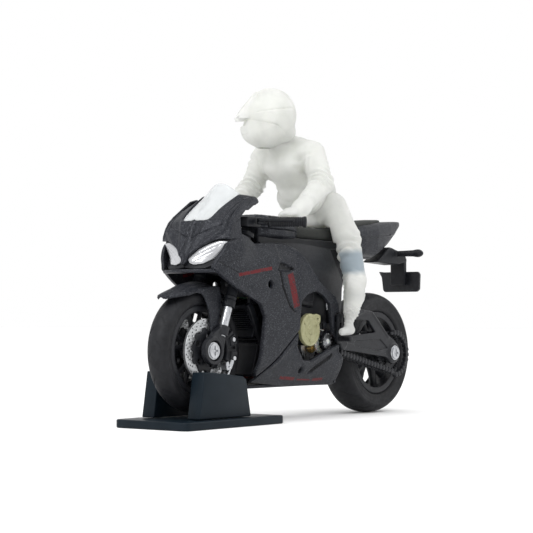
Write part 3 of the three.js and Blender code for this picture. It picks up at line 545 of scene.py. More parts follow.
def capped(name, verts, n):
    """A skin over rings of n points each, closed at both ends."""
    last = len(verts) - n
    faces = []
    for j in range(0, last, n):
        for i in range(n):
            k = (i + 1) % n
            faces.append((j + i, j + k, j + n + k, j + n + i))
    faces += [tuple(range(n)), tuple(range(last, last + n))]
    return mesh_of(name, [tuple(v) for v in verts], faces)


def spun(profile, start, end, n=40):
    """A round bar from start to end: (share along, radius) points with closed ends."""
    p, q = Vector(start), Vector(end)
    along = (q - p).normalized()
    side = along.orthogonal().normalized()
    up = along.cross(side)
    verts = []
    for t, r in profile:
        for i in range(n):
            a = 2 * math.pi * i / n
            verts.append(p + (q - p) * t + (side * math.cos(a) + up * math.sin(a)) * r)
    return capped("spun", verts, n)


def eased(profile, length, ease=0.2):
    """Adds a small rounded edge at both ends of a bar profile."""
    e = ease / length
    first, last = profile[0], profile[-1]
    return ([(first[0], first[1] - ease), (first[0] + e * 0.3, first[1] - ease * 0.3),
             (first[0] + e, first[1])]
            + profile[1:-1] + [(last[0] - e, last[1]), (last[0] - e * 0.3, last[1] - ease * 0.3),
                               (last[0], last[1] - ease)])


# ---- solids from a distance field ----------------------------------------------------
class Field:
    """A shape as a grid of distances in millimetres, negative inside, joined and cut smoothly."""

    def __init__(self, lo, hi, step):
        self.lo, self.step = np.array(lo, float), step
        counts = [int(math.ceil((b - a) / step)) + 1 for a, b in zip(lo, hi)]
        self.at = [self.lo[i] + step * np.arange(counts[i]) for i in range(3)]
        self.value = np.full(counts, 4.0, np.float32)

    def window(self, lo, hi, margin=1.6):
        cuts = []
        for i in range(3):
            a = np.searchsorted(self.at[i], lo[i] - margin)
            b = np.searchsorted(self.at[i], hi[i] + margin)
            cuts.append(slice(int(a), int(b)))
        x = self.at[0][cuts[0]][:, None, None]
        y = self.at[1][cuts[1]][None, :, None]
        z = self.at[2][cuts[2]][None, None, :]
        return tuple(cuts), x, y, z

    def add(self, shape, blend=0.6):
        function, lo, hi = shape
        cuts, x, y, z = self.window(lo, hi)
        old, new = self.value[cuts], function(x, y, z)
        share = np.clip(0.5 + 0.5 * (old - new) / blend, 0, 1)
        self.value[cuts] = old + (new - old) * share - blend * share * (1 - share)

    def cut(self, shape, blend=0.15):
        function, lo, hi = shape
        cuts, x, y, z = self.window(lo, hi, 0.8)
        old, new = self.value[cuts], -function(x, y, z)
        share = np.clip(0.5 + 0.5 * (new - old) / blend, 0, 1)
        self.value[cuts] = old + (new - old) * share + blend * share * (1 - share)

    def shift(self, function, lo, hi):
        """Raises or lowers the surface by function, which is zero at the box's sides."""
        cuts, x, y, z = self.window(lo, hi, 0)
        self.value[cuts] += function(x, y, z)

    def mesh(self, smooth=2):
        v = self.value
        inside = v < 0
        shape = [n - 1 for n in v.shape]
        corners = [(i, j, k) for i in (0, 1) for j in (0, 1) for k in (0, 1)]

        def part(g, c):
            return g[c[0]:c[0] + shape[0], c[1]:c[1] + shape[1], c[2]:c[2] + shape[2]]

        count = sum(part(inside, c).astype(np.int8) for c in corners)
        cells = np.argwhere((count > 0) & (count < 8))
        number = np.full(shape, -1, np.int64)
        number[tuple(cells.T)] = np.arange(len(cells))
        total = np.zeros((len(cells), 3))
        hits = np.zeros(len(cells))
        for a in corners:
            for axis in range(3):
                if a[axis]:
                    continue
                b = tuple(1 if i == axis else a[i] for i in range(3))
                va = v[tuple((cells + a).T)]
                vb = v[tuple((cells + b).T)]
                crossing = (va < 0) != (vb < 0)
                t = np.where(crossing, va / np.where(crossing, va - vb, 1), 0)
                point = np.array(a, float)[None, :] + t[:, None] * (np.array(b) - np.array(a))[None, :]
                total += np.where(crossing[:, None], point, 0)
                hits += crossing
        verts = (cells + total / hits[:, None]) * self.step + self.lo
        faces = []
        for axis in range(3):
            u, w = [(1, 2), (2, 0), (0, 1)][axis]
            low = [slice(None)] * 3
            high = [slice(None)] * 3
            low[axis], high[axis] = slice(0, -1), slice(1, None)
            change = inside[tuple(low)] != inside[tuple(high)]
            starts = inside[tuple(low)]
            edges = np.argwhere(change)
            within = (edges[:, u] > 0) & (edges[:, w] > 0) & (edges[:, u] < shape[u]) & (edges[:,
                                                                                               w] < shape[w])
            edges = edges[within]
            ring = []
            for du, dw in ((-1, -1), (0, -1), (0, 0), (-1, 0)):
                cell = edges.copy()
                cell[:, u] += du
                cell[:, w] += dw
                ring.append(number[tuple(cell.T)])
            quad = np.stack(ring, 1)
            flip = ~starts[tuple(edges.T)]
            quad[flip] = quad[flip][:, ::-1]
            faces.append(quad[(quad >= 0).all(1)])
        faces = np.concatenate(faces)
        mesh = bpy.data.meshes.new("field")
        mesh.vertices.add(len(verts))
        mesh.vertices.foreach_set("co", (verts * MM).astype(np.float32).ravel())
        mesh.loops.add(len(faces) * 4)
        mesh.loops.foreach_set("vertex_index", faces.astype(np.int32).ravel())
        mesh.polygons.add(len(faces))
        mesh.polygons.foreach_set("loop_start", np.arange(0, len(faces) * 4, 4, dtype=np.int32))
        mesh.update(calc_edges=True)
        mesh.validate()
        if smooth:
            mesh = baked(mesh, [("SMOOTH", dict(factor=0.5, iterations=smooth))])
        return mesh


def norm(x, y, z):
    return np.sqrt(x * x + y * y + z * z)


def rounded(a, b, radius):
    """Inside both distances at once, with the edge between them rounded."""
    a, b = a + radius, b + radius
    return np.sqrt(np.maximum(a, 0) ** 2 + np.maximum(b, 0) ** 2) + np.minimum(np.maximum(a, b), 0) - radius


def box_of(points, radius):
    lows = [min(p[i] for p in points) - radius for i in range(3)]
    highs = [max(p[i] for p in points) + radius for i in range(3)]
    return lows, highs


def cone(p, rp, q, rq):
    """A round limb from p to q."""
    p, q = np.array(p, float), np.array(q, float)
    d = q - p
    length2 = float(d @ d)

    def distance(x, y, z):
        t = np.clip(((x - p[0]) * d[0] + (y - p[1]) * d[1] + (z - p[2]) * d[2]) / length2, 0, 1)
        return norm(x - p[0] - t * d[0], y - p[1] - t * d[1], z - p[2] - t * d[2]) - (rp + (rq - rp) * t)

    lo, hi = box_of([p, q], max(rp, rq))
    return distance, lo, hi


def chain(*stops):
    """Round limbs through (point, radius) stops."""
    return [cone(p, rp, q, rq) for (p, rp), (q, rq) in zip(stops, stops[1:])]


def axes_of(turn):
    """Three unit axes after turning about Z, then about the new Y, in degrees."""
    a, b = math.radians(turn[0]), math.radians(turn[1])
    forward = np.array([math.cos(a) * math.cos(b), math.sin(a) * math.cos(b), math.sin(b)])
    left = np.array([-math.sin(a), math.cos(a), 0.0])
    return forward, left, np.cross(forward, left)


def egg(c, radii, turn=(0, 0)):
    f, l, u = axes_of(turn)
    smallest = min(radii)

    def distance(x, y, z):
        dx, dy, dz = x - c[0], y - c[1], z - c[2]
        a = (dx * f[0] + dy * f[1] + dz * f[2]) / radii[0]
        b = (dx * l[0] + dy * l[1] + dz * l[2]) / radii[1]
        e = (dx * u[0] + dy * u[1] + dz * u[2]) / radii[2]
        k = norm(a, b, e)
        g = norm(a / radii[0], b / radii[1], e / radii[2])
        return np.where(k > 0.2, k * (k - 1) / np.maximum(g, 1e-6), -0.8 * smallest)

    lo, hi = box_of([c], max(radii))
    return distance, lo, hi


def block(c, half, turn=(0, 0), round_by=0.3):
    f, l, u = axes_of(turn)

    def distance(x, y, z):
        dx, dy, dz = x - c[0], y - c[1], z - c[2]
        a = np.abs(dx * f[0] + dy * f[1] + dz * f[2]) - half[0] + round_by
        b = np.abs(dx * l[0] + dy * l[1] + dz * l[2]) - half[1] + round_by
        e = np.abs(dx * u[0] + dy * u[1] + dz * u[2]) - half[2] + round_by
        far = norm(np.maximum(a, 0), np.maximum(b, 0), np.maximum(e, 0))
        return far + np.minimum(np.maximum(a, np.maximum(b, e)), 0) - round_by

    lo, hi = box_of([c], math.sqrt(sum(h * h for h in half)))
    return distance, lo, hi


def tube(p, q, radius, round_by=0.1):
    """A flat-ended round bar."""
    p, q = np.array(p, float), np.array(q, float)
    d = q - p
    length = float(np.linalg.norm(d))
    d = d / length

    def distance(x, y, z):
        dx, dy, dz = x - p[0], y - p[1], z - p[2]
        t = dx * d[0] + dy * d[1] + dz * d[2]
        wall = norm(dx - t * d[0], dy - t * d[1], dz - t * d[2]) - radius
        return rounded(wall, np.abs(t - length / 2) - length / 2, round_by)

    lo, hi = box_of([p, q], radius)
    return distance, lo, hi


def smoothstep(t):
    t = np.clip(t, 0, 1)
    return t * t * (3 - 2 * t)


def groove(distance, width, depth):
    """A rounded groove: distance from its line, half width and depth."""
    return depth * (1 - smoothstep(np.abs(distance) / width))


def line_distance(a, b, start, end):
    """Distance of points (a, b) from a segment."""
    dx, dz = end[0] - start[0], end[1] - start[1]
    t = np.clip(((a - start[0]) * dx + (b - start[1]) * dz) / (dx * dx + dz * dz), 0, 1)
    return np.hypot(a - start[0] - t * dx, b - start[1] - t * dz)


# ---- moulded panels -------------------------------------------------------------------
def loop_distance(points, loops):
    """Distance of each point from the nearest edge of the loops."""
    best = np.full(len(points), 1e9)
    for loop in loops:
        a = np.array(loop)
        b = np.roll(a, -1, 0)
        for p, q in zip(a, b):
            d = q - p
            size = float(d @ d)
            if size < 1e-12:
                continue
            t = np.clip(((points - p) @ d) / size, 0, 1)
            best = np.minimum(best, np.hypot(*(points - p - t[:, None] * d).T))
    return best


def inside_loops(points, loops):
    """Whether each point is inside by the even-odd rule."""
    odd = np.zeros(len(points), bool)
    for loop in loops:
        a = np.array(loop)
        b = np.roll(a, -1, 0)
        for (xa, ya), (xb, yb) in zip(a, b):
            if ya == yb:
                continue
            crosses = (ya > points[:, 1]) != (yb > points[:, 1])
            at = xa + (points[:, 1] - ya) * (xb - xa) / (yb - ya)
            odd ^= crosses & (points[:, 0] < at)
    return odd


def divided(loop, step):
    made = []
    for p, q in zip(loop, loop[1:] + loop[:1]):
        n = max(1, int(math.ceil(math.dist(p, q) / step)))
        made += [(p[0] + (q[0] - p[0]) * k / n, p[1] + (q[1] - p[1]) * k / n) for k in range(n)]
    cleaned = []
    for p in made:
        if not cleaned or math.dist(p, cleaned[-1]) > 0.02:
            cleaned.append(p)
    return cleaned


def panel(loops, surface, thick, step=0.55, edge=0.32, relief=None, across="Y"):
    """A moulded shell. surface(a, b) gives how far out the outer face stands, relief(a, b, d) how much is
    taken off it d from the edge; the face runs over a and b, and out is Y or X."""
    loops = [divided(loop, step) for loop in loops]
    flat = [p for loop in loops for p in loop]
    edges, base = [], 0
    for loop in loops:
        n = len(loop)
        edges += [(base + i, base + (i + 1) % n) for i in range(n)]
        base += n
    low, high = np.min(flat, 0), np.max(flat, 0)
    grid = []
    rows = np.arange(low[1], high[1] + step, step * 0.866)
    for i, b in enumerate(rows):
        a = np.arange(low[0] + (i % 2) * step / 2, high[0] + step, step)
        grid.append(np.stack([a, np.full(len(a), b)], 1))
    grid = np.concatenate(grid)
    grid = grid[inside_loops(grid, loops)]
    grid = grid[loop_distance(grid, loops) > edge + 0.35 * step]
    rings = []
    for loop in loops:
        p = np.array(loop)
        tangent = np.roll(p, -1, 0) - np.roll(p, 1, 0)
        length = np.maximum(np.hypot(*tangent.T), 1e-9)[:, None]
        normal = np.stack([-tangent[:, 1], tangent[:, 0]], 1) / length
        for inset in (edge * 0.28, edge):
            for way in (1, -1):
                q = p + normal * inset * way
                q = q[inside_loops(q, loops)]
                rings.append(q[loop_distance(q, loops) > inset * 0.86])
    rings = np.concatenate(rings)
    points = [Vector(p) for p in flat] + [Vector(p) for p in rings] + [Vector(p) for p in grid]
    out = geometry.delaunay_2d_cdt(points, edges, [], 0, 1e-5, True)
    place = np.array([tuple(v) for v in out[0]])
    tri = np.array([f for f in out[2] if len(f) == 3])
    middle = place[tri].mean(1)
    tri = tri[inside_loops(middle, loops)]
    used = np.unique(tri)
    renumber = np.full(len(place), -1)
    renumber[used] = np.arange(len(used))
    place, tri = place[used], renumber[tri]
    d = loop_distance(place, loops)
    a, b = place.T
    out_at = surface(a, b)
    r = edge
    round_off = np.where(d < r, r - np.sqrt(np.maximum(r * r - (r - d) ** 2, 0)), 0)
    face = out_at - round_off - (relief(a, b, d) if relief else 0)
    back = np.minimum(out_at - thick, face - 0.12)
    n = len(place)
    if across == "Y":
        front_points = np.stack([a, face, b], 1)
        back_points = np.stack([a, back, b], 1)
    else:
        front_points = np.stack([face, a, b], 1)
        back_points = np.stack([back, a, b], 1)
    # the boundary is each edge used once
    pairs = np.concatenate([tri[:, [0, 1]], tri[:, [1, 2]], tri[:, [2, 0]]])
    key = np.sort(pairs, 1)
    _, first, counts = np.unique(key, axis=0, return_index=True, return_counts=True)
    rim = pairs[first[counts == 1]]
    faces = [tuple(t) for t in tri] + [tuple(t[::-1] + n) for t in tri]
    faces += [(q, p, p + n, q + n) for p, q in rim]
    verts = np.concatenate([front_points, back_points]).tolist()
    return mesh_of("panel", verts, [tuple(map(int, f)) for f in faces])


WIDTH = [(8, 4.4), (9.4, 5.4), (12, 7.2), (16, 9.5), (18, 10.1), (20, 10.2), (26, 10.35), (34, 10.5),
         (40, 10.4), (45, 10), (50, 9.2), (53, 8.6)]
FINE_Z = np.arange(4, 58, 0.1)
raw_width = np.interp(FINE_Z, *zip(*WIDTH))
bell = np.exp(-0.5 * (np.arange(-30, 31) * 0.1 / 0.8) ** 2)
FINE_WIDTH = np.convolve(np.pad(raw_width, 30, "edge"), bell / bell.sum(), "valid")


def side_width(x, z):
    nose = np.where(x > 34, 1 - 0.13 * (np.maximum(x - 34, 0) / 12) ** 2, 1)
    tail = np.where(x < -12, 1 - 0.02 * np.maximum(-12 - x, 0), 1)
    return np.interp(z, FINE_Z, FINE_WIDTH) * nose * tail


def mirrored(half):
    return list(half) + [(-y, z) for y, z in reversed(half) if y > 1e-6]


def pair(name, node, mesh, **values):
    finish_piece(flipped_y(mesh), name + "_right", node + "_right", **values)
    return finish_piece(mesh, name + "_left", node + "_left", **values)


def loop_signed(a, b, points):
    """Signed distance from a closed outline, negative inside, over broadcast grids."""
    best = None
    odd = np.zeros(np.broadcast(a, b).shape, bool)
    for (xa, ya), (xb, yb) in zip(points, points[1:] + points[:1]):
        dx, dy = xb - xa, yb - ya
        size = dx * dx + dy * dy
        if size < 1e-12:
            continue
        t = np.clip(((a - xa) * dx + (b - ya) * dy) / size, 0, 1)
        far = np.hypot(a - xa - t * dx, b - ya - t * dy)
        best = far if best is None else np.minimum(best, far)
        if ya != yb:
            odd ^= ((ya > b) != (yb > b)) & (a < xa + (b - ya) * dx / dy)
    return np.where(odd, -best, best)


def prism(points, low, high, round_by=0.2, across="Y"):
    """An outline run straight across, with rounded edges."""
    points = [tuple(p) for p in points]
    middle, half = (low + high) / 2, (high - low) / 2
    round_by = min(round_by, half * 0.9)

    def distance(x, y, z):
        a, b, c = {"Y": (x, z, y), "X": (y, z, x), "Z": (x, y, z)}[across]
        return rounded(loop_signed(a, b, points), np.abs(c - middle) - half, round_by)

    la, lb = np.min(points, 0)
    ha, hb = np.max(points, 0)
    lo = {"Y": (la, low, lb), "X": (low, la, lb), "Z": (la, lb, low)}[across]
    hi = {"Y": (ha, high, hb), "X": (high, ha, hb), "Z": (ha, hb, high)}[across]
    return distance, lo, hi


def ring(cx, cz, inner, outer, low, high, round_by=0.15):
    """A flat ring about an axle."""
    rc, rh = (inner + outer) / 2, (outer - inner) / 2
    yc, yh = (low + high) / 2, (high - low) / 2
    round_by = min(round_by, rh * 0.9, yh * 0.9)

    def distance(x, y, z):
        return rounded(np.abs(np.hypot(x - cx, z - cz) - rc) - rh, np.abs(y - yc) - yh, round_by)

    return distance, (cx - outer, low, cz - outer), (cx + outer, high, cz + outer)


def field_of(adds, cuts=(), step=0.16, blend=0.12, cut_blend=0.08, pad=0.5):
    lo = np.min([s[1] for s in adds], 0) - pad
    hi = np.max([s[2] for s in adds], 0) + pad
    made = Field(lo, hi, step * (1))
    for shape in adds:
        made.add(shape, blend)
    for shape in cuts:
        made.cut(shape, cut_blend)
    return made


def side(shape):
    """The mirror image of a field shape across the middle of the bike."""
    function, lo, hi = shape
    return (lambda x, y, z: function(x, -y, z)), (lo[0], -hi[1], lo[2]), (hi[0], -lo[1], hi[2])


RAKE = math.radians(21)
FORWARD = np.array([math.cos(RAKE), 0, math.sin(RAKE)])
UPWARD = np.array([-math.sin(RAKE), 0, math.cos(RAKE)])


HEAD_FOOT = np.array([38.2, 0, 20.0])


def raked(u, y, s):
    """A point u ahead of the steering axis and s along it."""
    return tuple(HEAD_FOOT + (0, y, 0) + u * FORWARD + s * UPWARD)


def placed(shape, origin, axes):
    """A shape drawn in its own three axes, set down at the origin along the given ones."""
    function, lo, hi = shape
    f, l, u = axes
    corners = [origin + a * f + b * l + c * u
               for a in (lo[0], hi[0]) for b in (lo[1], hi[1]) for c in (lo[2], hi[2])]

    def distance(x, y, z):
        dx, dy, dz = x - origin[0], y - origin[1], z - origin[2]
        return function(*(dx * a[0] + dy * a[1] + dz * a[2] for a in axes))

    return distance, np.min(corners, 0), np.max(corners, 0)



# ---- display stand --------------------------------------------------------------------
soften("stand_base", 0.42, 4)
soften("stand_cheek_left", 0.3, 3)
soften("stand_cheek_right", 0.3, 3)


# ---- wheels ---------------------------------------------------------------------------
def tyre_mesh(centre, radius, half, bead, grooves):
    """A round road tyre with a bead lip, a shoulder line and slanted rain grooves cut into the crown."""
    crown = []
    for i in range(17):
        t = math.pi / 2 * i / 16
        crown.append((radius - radius * 0.135 * (1 - math.cos(t)) ** 0.94, half * math.sin(t) ** 0.92))
    wall = [(radius * 0.845, half * 0.995), (radius * 0.83, half * 0.97), (radius * 0.822, half * 0.975),
            (radius * 0.80, half * 0.955), (bead + 0.75, half * 0.90), (bead + 0.5, half * 0.905),
            (bead + 0.3, half * 0.88), (bead - 0.1, half * 0.82), (bead - 0.22, half * 0.74)]
    right = crown + wall
    profile = [(r, y) for r, y in right] + [(r, -y) for r, y in reversed(right) if y > 1e-6]
    rows = len(crown)

    def wave(angle, j, r, y):
        share = abs(y) / half
        if r < radius * 0.87 or not 0.16 < share < 0.93:
            return r, y
        turn = angle * grooves / (2 * math.pi) + (0.5 if y > 0 else 0) + 0.62 * share ** 1.3
        near = abs((turn + 0.5) % 1 - 0.5) / (0.5 * grooves / (2 * math.pi * radius))
        depth = 0.26 * max(0.0, 1 - (near / 0.42) ** 2)
        depth = depth * smoothstep((share - 0.16) / 0.08) * smoothstep((0.93 - share) / 0.1)
        return r - float(depth), y

    return turned(profile, centre, 420, wave)


finish_piece(tyre_mesh(FRONT, 16.5, 3.25, 12.4, 15), "front_tyre_shape", "front_tyre", angle=40)
finish_piece(tyre_mesh(REAR, 18.2, 5.0, 12.7, 15), "rear_tyre_shape", "rear_tyre", angle=40)


AXLE_BORE = 1.3


def rim_mesh(centre, outer, half, hub, hub_half):
    """A cast wheel with five split spokes."""
    cx, cz = centre
    adds = [
        ring(cx, cz, outer - 1.35, outer - 0.25, -half, half, 0.3),
        ring(cx, cz, outer - 1.9, outer, half - 0.7, half, 0.25),
        ring(cx, cz, outer - 1.9, outer, -half, -half + 0.7, 0.25),
        ring(cx, cz, AXLE_BORE, hub, -hub_half, hub_half, 0.3),
        ring(cx, cz, AXLE_BORE, hub + 0.7, -half * 0.45, half * 0.45, 0.4),
    ]
    for k in range(5):
        middle = 2 * math.pi * k / 5 + math.pi / 2
        for lean in (-0.14, 0.14):
            run = [(hub * 0.7, lean * 1.4), (hub + 2.4, lean * 0.9), (outer - 1.2, lean * 1.75)]
            points = [(cx + r * math.cos(middle + s), 0, cz + r * math.sin(middle + s)) for r, s in run]
            size = half * 0.30
            adds.append(cone(points[0], size * 1.3, points[1], size * 1.05))
            adds.append(cone(points[1], size * 1.05, points[2], size * 0.86))
    cuts = [ring(cx, cz, 0, AXLE_BORE, -hub_half - 1, hub_half + 1, 0.05)]
    return field_of(adds, cuts, 0.2, 0.45).mesh(2)


finish_piece(rim_mesh(FRONT, 12.15, 2.3, 2.8, 3.0), "front_rim_shape", "front_rim", angle=50)
finish_piece(rim_mesh(REAR, 12.45, 4.0, 3.2, 4.5), "rear_rim_shape", "rear_rim", angle=50)


def toothed(cx, cz, radius, depth, teeth, start=0.0):
    """The outline of a toothed wheel."""
    points = []
    for k in range(teeth):
        for f, r in ((-0.34, radius - depth), (-0.2, radius - depth * 0.25), (-0.12, radius), (0.12, radius),
                     (0.2, radius - depth * 0.25), (0.34, radius - depth)):
            points.append(on_circle((cx, cz), r, 2 * math.pi * (k + f) / teeth + start))
    return points


def disc_mesh():
    """The bright brake ring: three rows of drilled holes and a scalloped inner edge."""
    inner = []
    for k in range(160):
        a = 2 * math.pi * k / 160
        inner.append(on_circle(FRONT, 5.55 - 0.28 * math.cos(10 * a), a))
    loops = [circle(*FRONT, 8.5, 120), inner]
    for radius, turn in ((6.75, 0.0), (7.35, 0.10), (7.95, 0.20)):
        loops += holes(FRONT, radius, 20, turn, 0.21, 10)
    return plate(loops, 3.38, 4.12, 0.05, 1)


def carrier_mesh():
    """The dark centre that carries the brake ring."""
    loops = [toothed(*FRONT, 6.25, 1.0, 10, 0.16), circle(*FRONT, 1.35, 32)] + holes(FRONT, 3.9, 5, 0.5, 0.85,
                                                                                     20)
    flat = plate(loops, 3.28, 4.32, 0.14)
    profile = [(1.35, 3.3), (2.1, 3.3), (2.25, 3.5), (2.3, 4.4), (2.15, 4.78), (1.9, 4.9), (1.35, 4.9)]
    boss = turned(profile, FRONT, 56)
    return joined("carrier", [flat, boss])


pair("brake_ring", "brake_disc", disc_mesh(), angle=30)
pair("disc_carrier", "brake_disc", carrier_mesh(), slot="dark_frame", angle=30)


def screw_head(centre, radius, y_face, y_back, way=1):
    """A pan head with a cross recess and a washer, facing out."""
    cx, cz = centre
    s, w = 0.24, radius * 0.5
    cross = [(cx + a, cz + b) for a, b in ((w, s), (s, s), (s, w), (-s, w), (-s, s), (-w, s), (-w, -s),
                                           (-s, -s), (-s, -w), (s, -w), (s, -s), (w, -s))]
    low, high = sorted((y_back, y_face))
    face_low, face_high = (high - 0.42, high) if way > 0 else (low, low + 0.42)
    top = plate([circle(cx, cz, radius * 0.86, 48), cross[::-1]], face_low, face_high, 0.12)
    back_low, back_high = (low, high - 0.38) if way > 0 else (low + 0.38, high)
    base = plate([circle(cx, cz, radius, 48)], back_low, back_high, 0.12)
    return [top, base]


axle = screw_head(FRONT, 2.35, 7.25, 6.35) + screw_head(FRONT, 2.35, -7.25, -6.35, -1)
axle.append(spun([(0, 1.0), (1, 1.0)], (FRONT[0], -6.5, FRONT[1]), (FRONT[0], 6.5, FRONT[1]), 32))
finish_piece(joined("axle", axle), "front_axle_screws", "front_axle", angle=30)
axle = screw_head(REAR, 2.2, 11.1, 10.45) + screw_head(REAR, 2.2, -9.0, -8.35, -1)
axle.append(spun([(0, 1.0), (1, 1.0)], (REAR[0], -8.5, REAR[1]), (REAR[0], 10.6, REAR[1]), 32))
finish_piece(joined("axle", axle), "rear_axle_screws", "rear_axle", angle=30)

# ---- fork -----------------------------------------------------------------------------
LEG_AHEAD, LEG_OUT = 1.68, 6.4


def on_leg(s, u=LEG_AHEAD):
    """A point s along the left fork leg."""
    return raked(u, LEG_OUT, s)


outer_tube = field_of([
    tube(on_leg(11.6), on_leg(33.2), 1.55, 0.2),
    tube(on_leg(11.6), on_leg(13.6), 1.72, 0.2),
    tube(on_leg(14.2), on_leg(14.7), 1.68, 0.15),
    tube(on_leg(20.4), on_leg(21.6), 1.70, 0.2),
    tube(on_leg(12.6, 3.0), on_leg(12.6, 3.75), 0.45, 0.1),
], [tube(on_leg(11), on_leg(18), 1.25, 0.02)], 0.15)
pair("fork_slider", "fork_outer", outer_tube.mesh(1), angle=50)
inner_tube = spun(eased([(0, 1.18), (1, 1.18)], 14.8, 0.15), on_leg(3.4), on_leg(18.0),
                  48)
pair("fork_tube", "fork_leg", inner_tube, slot="screw_steel", angle=30)
foot_block = fillet([(44.4, 21.8), (41.9, 24.9), (39.3, 26.3), (36.9, 25.4), (38.0, 20.0), (40.6, 17.6)], 0.9)
fork_foot = field_of([
    ring(*FRONT, 1.3, 3.55, 5.25, 6.9, 0.25),
    ring(*FRONT, 2.72, 3.75, 5.5, 7.3, 0.28),
    prism(foot_block, 5.35, 7.1, 0.35),
    tube(on_leg(3.6), on_leg(6.3), 1.72, 0.3),
], [ring(*FRONT, 0, 2.7, 6.05, 9, 0.02), ring(*FRONT, 0, 1.3, 4, 9, 0.02)], 0.13, 0.3)
pair("fork_foot", "fork_leg", fork_foot.mesh(1), angle=50)


def yoke_outline():
    half = [(3.0, 0), (3.6, 4.2), (4.0, 6.4), (3.0, 8.5), (0.4, 8.5), (-1.2, 5.5), (-2.2, 2.6), (-2.4, 0)]
    return fillet([(u, y) for u, y in half] + [(u, -y) for u, y in reversed(half[1:-1])], 0.9)


def tilted(shape):
    """A shape built upright about the steering axis, leaned back to it."""
    return placed(shape, HEAD_FOOT, (FORWARD, np.array([0, 1.0, 0]), UPWARD))


stem = field_of([
    *(tilted(prism(yoke_outline(), low, high, 0.35, "Z")) for low, high in ((22.4, 24.4), (32.0, 33.4))),
    tube(raked(0, 0, 22.8), raked(0, 0, 33.6), 1.35, 0.2),
    tube(raked(0, 0, 33.2), raked(0, 0, 33.9), 1.1, 0.2),
], [tube(raked(LEG_AHEAD, y, 20), raked(LEG_AHEAD, y, 36), 1.8, 0.05) for y in (LEG_OUT, -LEG_OUT)], 0.17)
finish_piece(stem.mesh(1), "steering_yokes", "steering_stem", angle=50)


# ---- brake calipers -------------------------------------------------------------------
def arc(cx, cz, radius, start, end, n=14):
    return [on_circle((cx, cz), radius, math.radians(start + (end - start) * k / n)) for k in range(n + 1)]


CALIPER_PINS = [(33.9, 22.9), (33.6, 17.9)]
caliper_outline = fillet(arc(*FRONT, 9.9, 147, 205) + arc(*FRONT, 5.8, 205, 147), 0.7)
keep_clear = [(37.6, 8), (46, 8), (46, 32), (35.4, 32), (36.5, 25), (37.6, 19)]
caliper = field_of([
    prism(caliper_outline, 4.6, 6.6, 0.4),
    prism(fillet(arc(*FRONT, 9.5, 152, 170) + arc(*FRONT, 7.0, 170, 152), 0.5), 6.2, 7.25, 0.35),
    prism(fillet(arc(*FRONT, 9.5, 181, 199) + arc(*FRONT, 7.0, 199, 181), 0.5), 6.2, 7.25, 0.35),
], [prism(keep_clear, 3, 9, 0.05),
    prism(fillet(arc(*FRONT, 9.2, 173, 178) + arc(*FRONT, 6.2, 178, 173), 0.2), 6.0, 9, 0.1),
    *(tube((x, 8, z), (x, 6.75, z), 0.8, 0.05) for x, z in CALIPER_PINS)],
    0.12, 0.25)
pair("caliper_body", "brake_caliper", caliper.mesh(1), angle=50)
trim = field_of([
    *(tube((x, 6.6, z), (x, 7.2, z), 0.62, 0.12) for x, z in CALIPER_PINS),
    prism(fillet(arc(*FRONT, 8.9, 196, 215, 8) + arc(*FRONT, 7.6, 215, 196, 8), 0.25), 4.9, 6.9, 0.15),
    prism(fillet([(36.4, 17.2), (37.4, 16.8), (37.2, 14.6), (35.6, 14.9)], 0.3), 5.2, 7.35, 0.2),
    prism(fillet([(34.6, 15.9), (35.5, 15.5), (36.9, 13.2), (36.2, 12.9)], 0.2), 5.4, 7.1, 0.15),
], [prism(fillet([(36.1, 16.0), (36.7, 15.9), (36.6, 15.5), (36.0, 15.6)], 0.1), 7.0, 8, 0.02)], 0.1)
pair("caliper_pads", "brake_caliper", trim.mesh(1), slot="screw_steel", angle=50)


# ---- front mudguard -------------------------------------------------------------------
def fender_field():
    """An arched shell with a beak, a raised spine and an arm down each side."""
    made = Field((21.5, -6.2, 23.5), (62, 6.2, 41.6), 0.2 * (1))
    x, y, z = made.at[0][:, None, None], made.at[1][None, :, None], made.at[2][None, None, :]
    dx, dz = x - FRONT[0], z - FRONT[1]
    angle = np.degrees(np.arctan2(dz, dx))
    r = np.hypot(dx, dz)
    lift = np.where(angle < 66, (np.maximum(66 - angle, 0) / 20) ** 1.5 * 2.0, 0)
    half = np.interp(angle, [44, 49, 55, 62, 80, 120, 132, 138.5], [0.7, 2.0, 3.2, 4.2, 4.45, 4.3, 4.0, 3.2])
    share = np.clip(np.abs(y) / half, 0, 1.2)
    drop = np.interp(angle, [44, 62, 84, 140], [0.9, 1.3, 2.3, 2.3])
    crown = 18.15 + lift - drop * share ** 3.2
    crown = crown + 0.22 * np.exp(-(y / 0.9) ** 2) - 0.25 * np.exp(-((share - 0.62) / 0.12) ** 2)
    shell = np.abs(r - crown + 0.4) - 0.4
    ends = np.maximum(45.2 - angle, angle - 138) * r * math.pi / 180
    sides = (np.abs(y) - half) * 0.9
    made.value = np.maximum(np.maximum(shell, sides), ends).astype(np.float32)
    arm = fillet([(45.8, 36.4), (42.9, 33.4), (41.5, 30), (41.2, 26.4), (41.1, 24.4), (38.6, 24.7),
                  (37.2, 30), (36.4, 34), (37.4, 37.4)], 1.1)
    straight, lo, hi = prism(arm, 4.15, 4.95, 0.3)

    def flared(x, y, z):
        return straight(x, y - 0.11 * np.maximum(33.5 - z, 0) * 0.35, z)

    flared_arm = flared, lo, (hi[0], hi[1] + 0.5, hi[2])
    made.add(flared_arm, 0.5)
    made.add(side(flared_arm), 0.5)
    return made


finish_piece(fender_field().mesh(2), "mudguard", "front_fender", angle=45)

# ---- nose: cowl, lamps, screen --------------------------------------------------------
CURL = [(42, 0.03), (44.4, 0.045), (48.8, 0.0204), (52.3, 0.017), (55, 0.02), (57.4, 0.03), (59, 0.05),
        (60.5, 0.075), (62, 0.1)]


